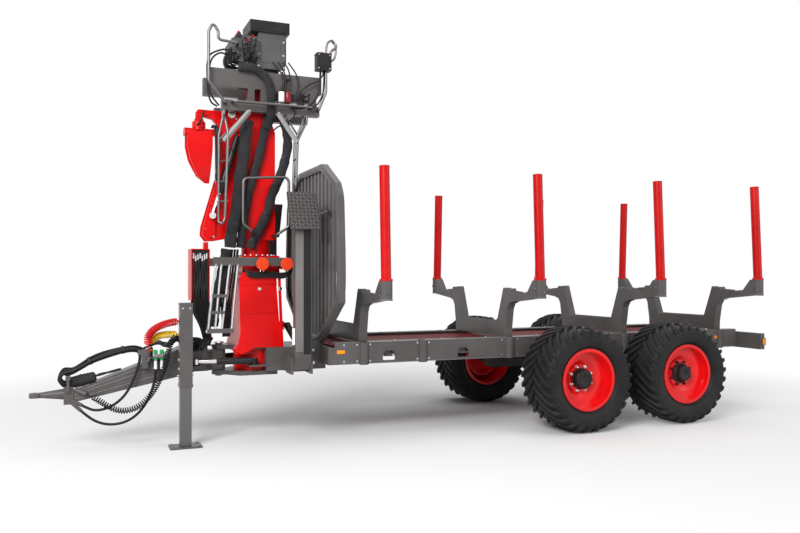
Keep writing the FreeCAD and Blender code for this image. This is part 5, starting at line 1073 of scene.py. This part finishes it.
# %% Couplings parked on the rack
COUPLING = (
    ([(0, 0.0165), (0.026, 0.0165), (0.032, 0.013), (0.033, 0.0)], 0.828, 16),
    ([(0, 0.0175), (0.016, 0.0175)], 0.772, 16),
    ([(0, 0.0125), (0.03, 0.0125), (0.031, 0.0118), (0.074, 0.0118), (0.075, 0.0)], 0.692, 12),
    ([(0, 0.0148), (0.026, 0.0148)], 0.8, 6))
coupling_caps, coupling_stems = [], []
for spot in ((x, y) for x in (2.72, 2.773) for y in (0.134, 0.174)):
    turned = [lathe(outline, (*spot, z), (0, 0, 1), steps) for outline, z, steps in COUPLING]
    coupling_caps += turned[:2]
    coupling_stems += turned[2:]
join_up("coupling_caps", coupling_caps, "cap_green", "drawbar")
join_up("coupling_stems", coupling_stems, "clean_white", "drawbar")
for colour, thick, spot in (("red", 0.02, (2.833, 0.15, 0.846)),
                            ("yellow", 0.019, (2.805, 0.088, 0.85))):
    head = lathe([(0, thick), (0.014, thick), (0.016, thick - 0.005), (0.03, thick - 0.007),
                  (0.031, 0.0)], spot, (0, 0, 1), 18)
    join_up(f"{colour}_plug_head", [head], f"coil_{colour}", "drawbar")
print("couplings parked:", len(coupling_stems) // 2)

# %% Hoses that gather behind the jack
gathered = []
for number in range(9):
    wave, turn = sin(2.3 * number), cos(1.7 * number)
    gathered.append(hose([
        (2.545, 0.13 + 0.01 * turn, 0.945 - 0.006 * number),
        (2.59, 0.15 + 0.02 * wave, 0.955 + 0.02 * turn),
        (2.64, 0.155 + 0.018 * turn, 0.925 + 0.026 * wave),
        (2.69, 0.15 + 0.02 * wave, 0.905 + 0.018 * turn),
        (2.735, 0.14 + 0.016 * turn, 0.925 + 0.014 * wave), (2.79, 0.11 + 0.014 * wave, 0.905),
        (2.85, 0.07 + 0.01 * turn, 0.88), (2.89, 0.04 + 0.008 * wave, 0.856)], 0.0085))
join_up("gathered_hoses", gathered, "hose_black", "drawbar")
print("gathered hoses:", len(gathered))

# %% Painted highlights along the drawbar's folds, and fittings of the jack
# Thin lines in the highlight grey along the drawbar's bends are painted highlights.
folds = [pipe([(2.625, sign * 0.1185, start), (3.445, sign * 0.0726, end)], 0.0035, sides=8)
         for sign in (1, -1) for start, end in ((0.8, 0.502), (0.742, 0.484), (0.66, 0.446))]
join_up("drawbar_fold_highlights", folds, "painted_highlight_grey", "drawbar")
collars = [block((2.476 - out, 0.265 - out, low), (2.586 + out, 0.375 + out, high))
           for low, high, out in ((0.534, 0.566, 0.004), (1.262, 1.288, 0.002))]
join_up("jack_collars", collars, "frame_grey", "drawbar", bevel=0.003)
jack_pin = [pipe([(2.46, 0.32, 0.64), (2.604, 0.32, 0.64)], 0.009, sides=14)]
jack_pin += [hex_bolt((2.5865, 0.32, z), (1, 0, 0), high=0.009) for z in (0.7, 0.78)]
jack_pin += [hex_bolt((x, 0.3755, 1.24), (0, 1, 0), 0.008, 0.006) for x in (2.5, 2.562)]
join_up("jack_pin", jack_pin, "bright_steel", "drawbar")
foot_pad = [block((2.395, 0.224, 0.0125), (2.667, 0.416, 0.015))]
foot_pad += [lathe([(0, 0.012), (0.004, 0.012), (0.006, 0.008)],
                   (2.531 + a * 0.11, 0.32 + b * 0.072, 0.0145), (0, 0, 1), 14)
             for a in (-1, 1) for b in (-1, 1)]
join_up("jack_foot_trim", foot_pad, "jack_zinc", "jack_leg", bevel=0.001)
print("drawbar folds:", len(folds), "and the jack's fittings")

# %% Knot of thin leads beside the jack
knot = []
for number in range(13):
    wave, turn = sin(1.9 * number), cos(2.6 * number)
    wide, tall = 0.085 + 0.03 * wave, 0.04 + 0.016 * turn
    middle = Vector((2.42 + 0.03 * turn, 0.166 + 0.016 * turn, 0.9 + 0.014 * wave))
    route = [Vector((wide * 1.25, -0.03, 0.036 * wave))]
    for step in range(7):
        angle = 0.6 + 0.85 * step + 0.4 * number
        route.append(Vector((wide * cos(angle), 0.01 * sin(2 * angle), tall * sin(angle))))
    route.append(Vector((-wide * 1.1, -0.045, -0.02 + 0.014 * turn)))
    knot.append(hose([middle + place for place in route], 0.0062, steps=5))
for number in range(6):
    shift = 0.012 * number
    knot.append(hose([
        (2.33 + shift, 0.128, 0.872), (2.3 + shift, 0.15, 0.905 - shift),
        (2.27 + shift, 0.14, 0.94), (2.262 + shift * 0.6, 0.09, 0.95), (2.29, 0.03, 0.945)],
        0.0075, steps=5))
join_up("lead_knot", knot, "hose_black", "drawbar")
print("leads in the knot:", len(knot))

# %% [markdown]
# Bunks have a saw-toothed edge where logs rest, so that bark can't slide. Each strip of teeth is
# one zigzag outline, pushed through the bunk's thickness. Bolts lock the stakes in their cups.

# %% Saw teeth on the bunks
BUNK_X = (0.929, -0.656, -2.106, -3.446)
TOOTH_HIGH, STRIP_SUNK, STRIP_HALF = 0.013, 0.006, 0.02


def tooth_strip(x, start, end, teeth):
    """A strip of saw teeth from start to end, both (y, z), with its back sunk in the beam."""
    along = Vector((0, end[0] - start[0], end[1] - start[1]))
    up = Vector((0, -along.z, along.y)).normalized()
    if up.z < 0:
        up.negate()
    first = Vector((0, *start))
    edge = [first - up * STRIP_SUNK]
    for number in range(teeth):
        edge.append(first + along * (number / teeth))
        edge.append(first + along * ((number + 0.5) / teeth) + up * TOOTH_HIGH)
    edge += [first + along, first + along - up * STRIP_SUNK]
    count = len(edge)
    points, faces = prism(*([p + Vector((x + shift, 0, 0)) for p in edge]
                            for shift in (-STRIP_HALF, STRIP_HALF)))
    for a in range(1, 2 * teeth, 2):
        faces += [(base + a, base + a + 1, base + a + 2) for base in (0, count)]
    return points, faces[:count] + faces[count + 2:]


strips = []
for x in BUNK_X:
    strips.append(tooth_strip(x, (-0.365, 1.05), (0.365, 1.05), 34))
    for sign in (1, -1):
        strips.append(tooth_strip(x, (sign * 0.652, 1.366), (sign * 0.812, 1.356), 9))
        strips.append(tooth_strip(x, (sign * 0.545, 1.378), (sign * 0.6, 1.372), 3))
join_up("bunk_teeth", strips, "frame_grey", "frame", smooth=False)
print("strips of teeth:", len(strips))

# %% Stake cups and stakes
STAKE_Y, LEAN, STAKE_LONG = 1.145, radians(2.5), 1.0165
CUP_RING = [(0, 0.0495), (0, 0.059), (0.01, 0.059), (0.012, 0.057), (0.012, 0.0495)]
STAKE_CAP = [(-0.006, 0.0465), (-0.004, 0.0472), (0.0, 0.0465), (0.0015, 0.044), (0.0018, 0.04),
             (-0.004, 0.038), (-0.004, 0.0)]
WELD_BEAD = [(0.014, 0.059), (0.017, 0.056), (0.02, 0.05), (0.022, 0.0462)]
cup_bolts, cup_rings, stake_trim = [], [], []
for x in BUNK_X:
    for sign in (1, -1):
        y = sign * STAKE_Y
        cup_bolts.append(hex_bolt((x, sign * 1.2005, 1.37), (0, sign, 0), 0.01, 0.01))
        cup_bolts.append(hex_bolt((x + 0.0555, y, 1.4), (1, 0, 0), 0.011, 0.009))
        cup_rings.append(lathe(CUP_RING, (x, y, 1.31), (0, 0, 1), solid=False))
        foot = Vector((x, y, 1.485))
        rise = Vector((0, -sign * sin(LEAN), cos(LEAN)))
        stake_trim.append(lathe(STAKE_CAP, foot + rise * STAKE_LONG, rise, 36, solid=False))
        stake_trim.append(lathe(WELD_BEAD, foot, (0, 0, 1), 36, solid=False))
join_up("cup_bolts", cup_bolts, "satin_bar", "frame")
# Each cup's ring is a painted highlight, in the lighter highlight grey.
join_up("cup_rings", cup_rings, "painted_highlight_grey", "frame")
join_up("stake_trim", stake_trim, "stake_red", "frame")
print("cup bolts:", len(cup_bolts), "stake caps and weld beads:", len(stake_trim))

# %% Lamps and bolts at the rear
lens_red, lens_amber, rear_bolts = [], [], []
for sign in (1, -1):
    lens_red.append(block((-3.8175, sign * 0.69, 0.745), (-3.814, sign * 0.85, 0.815)))
    lens_amber.append(block((-3.804, sign * 0.922, 0.746), (-3.756, sign * 0.9265, 0.814)))
    lens_amber.append(block((-3.8175, sign * 0.59, 0.745), (-3.814, sign * 0.68, 0.815)))
    rear_bolts += [hex_bolt((-3.8125, sign * y, z), (-1, 0, 0), 0.011)
                   for z in (0.716, 0.844) for y in (0.48, 0.6)]
join_up("rear_lenses_red", lens_red, "wine_red", "frame", bevel=0.0012)
join_up("rear_lenses_amber", lens_amber, "amber", "frame", bevel=0.0012)
join_up("rear_bolts", rear_bolts, "bright_steel", "frame")
print("rear lenses:", len(lens_red) + len(lens_amber))

# %% Pipes and bolts along the frame rails
rail_pipes, rail_bolts = [], []
for sign in (1, -1):
    for number in range(3):
        y, z = sign * (0.466 - 0.016 * number), 0.852 - 0.004 * number
        rail_pipes.append(pipe([(x, y, z) for x in (1.2, 0.2, -1.4)], 0.0055, sides=8))
    rail_bolts += [hex_bolt((x, sign * 0.5852, z), (0, sign, 0), 0.009, 0.006)
                   for x in (1.13, 1.0, 0.87, 0.38, 0.26, -0.56, -0.75) for z in (0.726, 0.88)]
    rail_bolts += [hex_bolt((x, sign * 0.53, 0.9052), (0, 0, 1), 0.01, 0.007)
                   for x in (0.6, 0.1, -0.4, -1.0, -1.8, -2.6, -3.3)]
join_up("rail_pipes", rail_pipes, "hose_black", "frame")
join_up("rail_bolts", rail_bolts, "zinc_steel", "frame")
print("rail bolts:", len(rail_bolts))

# %% Bolts of the front frame and of the steering pivot
front_bolts = []
for sign in (1, -1):
    front_bolts += [hex_bolt((x, sign * 0.3005, z), (0, sign, 0), 0.012, 0.009)
                    for x in (1.34, 1.44) for z in (0.7, 0.82)]
    front_bolts += [hex_bolt((x, sign * 0.15, 0.8805), (0, 0, 1), 0.011) for x in (1.9, 2.0)]
front_bolts.append(lathe([(0, 0.05), (0.006, 0.05), (0.01, 0.044), (0.016, 0.032), (0.017, 0.0)],
                         (2.185, 0.0, 0.8945), (0, 0, 1)))
join_up("front_bolts", front_bolts, "bright_steel", "frame")
print("front bolts and the pivot's cap:", len(front_bolts))

# %% [markdown]
# The frame rails have a pressed half-round pocket at each stake socket, and folded lips along
# their top and bottom edges, drawn in a lighter grey as a painted highlight along each edge. Each
# pocket is a short upright shape with a half-round front, seated on the rail's outer face, where
# it catches the light as an upright bright bar.

# %% Pockets, lips and slot covers on the rails
SOCKET_X, SLOT_X = (0.929, 0.32, -0.656, -2.106, -3.446), (0.676, -0.12)
POCKET_RADIUS, HALF_TURN = 0.04, [pi * step / 12 for step in range(13)]
LIP_Y, LIP_OVERLAP = 0.586, 0.055


def pocket(x, sign):
    """A half-round upright pocket on the outer face of a rail."""
    wide = POCKET_RADIUS + 0.01
    outline = [(-wide, -0.004)]
    outline += [(-POCKET_RADIUS * cos(turn), 0.002 + 0.028 * sin(turn) ** 0.8)
                for turn in HALF_TURN]
    outline.append((wide, -0.004))
    return prism(*([Vector((x + along, sign * (0.5848 + out), z)) for along, out in outline]
                   for z in (0.692, 0.903)))


pockets, lips, slot_covers = [], [], []
for sign in (1, -1):
    pockets += [pocket(x, sign) for x in SOCKET_X]
    y, edges = sign * LIP_Y, (1.2, *SOCKET_X, -3.69)
    # The lips are painted highlights in the lighter grey.
    lips += [pipe([(start - LIP_OVERLAP, y, z), (end + LIP_OVERLAP, y, z)], 0.0042, sides=8)
             for start, end in zip(edges, edges[1:]) for z in (0.7035, 0.9015)]
    for x in SLOT_X:
        rim = [(x - 0.06 * cos(turn), y, 0.8 + 0.048 * sin(turn)) for turn in HALF_TURN]
        rim += [(x + 0.06, y, 0.77), (x - 0.06, y, 0.77), (x - 0.06, y, 0.8)]
        slot_covers.append(pipe(rim, 0.005, sides=8))
        slot_covers.append(block((x - 0.05, sign * 0.52, 0.756), (x + 0.03, sign * 0.545, 0.842)))
join_up("rail_pockets", pockets, "frame_grey", "frame", bevel=0.003)
join_up("rail_lip_highlights", lips, "painted_highlight_grey", "frame")
join_up("slot_covers", slot_covers, "frame_grey", "frame", bevel=0.003)
print("pockets on the rails:", len(pockets))

# %% [markdown]
# The studio is a pale floor that runs on into white, a large soft lamp ahead and to the left, and
# two weaker ones. The floor and the sky are white only to the eye and to reflections, so that no
# extra light falls on the paint. The camera stands low, ahead of the load on the left side.

# %% Studio
WHITE = (1.0, 1.0, 1.0, 1.0)


def area_lamp(name, place, aim, size, power):
    """A square soft lamp that looks at a point."""
    data = bpy.data.lights.new(name, "AREA")
    data.shape, data.size, data.energy = "SQUARE", size, power
    lamp = bpy.data.objects.new(name, data)
    lamp.location = place
    lamp.rotation_euler = (Vector(aim) - Vector(place)).to_track_quat("-Z", "Y").to_euler()
    bpy.context.scene.collection.objects.link(lamp)


area_lamp("key_lamp", (7.5, 7.5, 7.0), (0.5, 0.0, 1.2), 5.0, 1250)
area_lamp("fill_lamp", (-7.0, 8.0, 4.0), (-1.0, 0.0, 1.0), 6.0, 260)
area_lamp("top_lamp", (0.0, 0.0, 9.0), (0.0, 0.0, 0.0), 9.0, 300)


def combine(tree, operation, first, second):
    """One value made from two, by a Math node."""
    node = tree.nodes.new("ShaderNodeMath")
    node.operation = operation
    tree.links.new(first, node.inputs[0])
    tree.links.new(second, node.inputs[1])
    return node.outputs["Value"]


def white_to_the_eye(tree):
    """A value of 1 for the rays that carry a white backdrop: seen, mirrored or let through."""
    rays = tree.nodes.new("ShaderNodeLightPath").outputs
    mirrored = combine(tree, "MAXIMUM", rays["Is Camera Ray"], rays["Is Glossy Ray"])
    return combine(tree, "MAXIMUM", mirrored, rays["Is Transmission Ray"])


def mix_into(tree, share, first, second, output):
    """Mix two shaders by a share and send them to the output."""
    mix = tree.nodes.new("ShaderNodeMixShader")
    for value, socket in ((share, mix.inputs["Fac"]), (first, mix.inputs[1]),
                          (second, mix.inputs[2]),
                          (mix.outputs["Shader"], tree.nodes[output].inputs["Surface"])):
        tree.links.new(value, socket)


world = bpy.data.worlds.new("studio")
bpy.context.scene.world = world
world.use_nodes = True
tree = world.node_tree
ambient = tree.nodes["Background"]
ambient.inputs["Color"].default_value = WHITE
ambient.inputs["Strength"].default_value = 0.28
backdrop = new_node(tree, "ShaderNodeBackground", Strength=1.0, Color=WHITE)
mix_into(tree, white_to_the_eye(tree), ambient.outputs["Background"],
         backdrop.outputs["Background"], "World Output")
print("world strength", ambient.inputs["Strength"].default_value)

# %% A floor that fades to white
floor_mesh = bpy.data.meshes.new("floor")
builder = bmesh.new()
bmesh.ops.create_grid(builder, x_segments=1, y_segments=1, size=60.0)
builder.to_mesh(floor_mesh)
builder.free()
floor = bpy.data.objects.new("floor", floor_mesh)
bpy.context.scene.collection.objects.link(floor)
paint, tree, shader = new_material("floor_paint", (0.82, 0.82, 0.82), 0.8, Specular_IOR_Level=0.0)
reach = tree.nodes.new("ShaderNodeVectorMath")
reach.operation = "LENGTH"
tree.links.new(tree.nodes.new("ShaderNodeTexCoord").outputs["Object"], reach.inputs[0])
fade = new_node(tree, "ShaderNodeMapRange", From_Min=1.5, From_Max=7.0)
tree.links.new(reach.outputs["Value"], fade.inputs["Value"])
seen = combine(tree, "MULTIPLY", fade.outputs["Result"], white_to_the_eye(tree))
glow = new_node(tree, "ShaderNodeEmission", Strength=1.0)
mix_into(tree, seen, shader.outputs["BSDF"], glow.outputs["Emission"], "Material Output")
floor_mesh.materials.append(paint)
print("floor laid")

# %% Camera
lens = bpy.data.cameras.new("lens")
lens.sensor_width, lens.lens = 36.0, 35.163
camera = bpy.data.objects.new("camera", lens)
camera.location = (3.4662, 7.5148, 1.5395)
ahead = Vector((-0.38639, -0.92228, 0.01044))
camera.rotation_euler = ahead.to_track_quat("-Z", "Y").to_euler()
bpy.context.scene.collection.objects.link(camera)
bpy.context.scene.camera = camera
bpy.context.scene.view_settings.view_transform = "Standard"
print("camera at", tuple(round(c, 2) for c in camera.location))
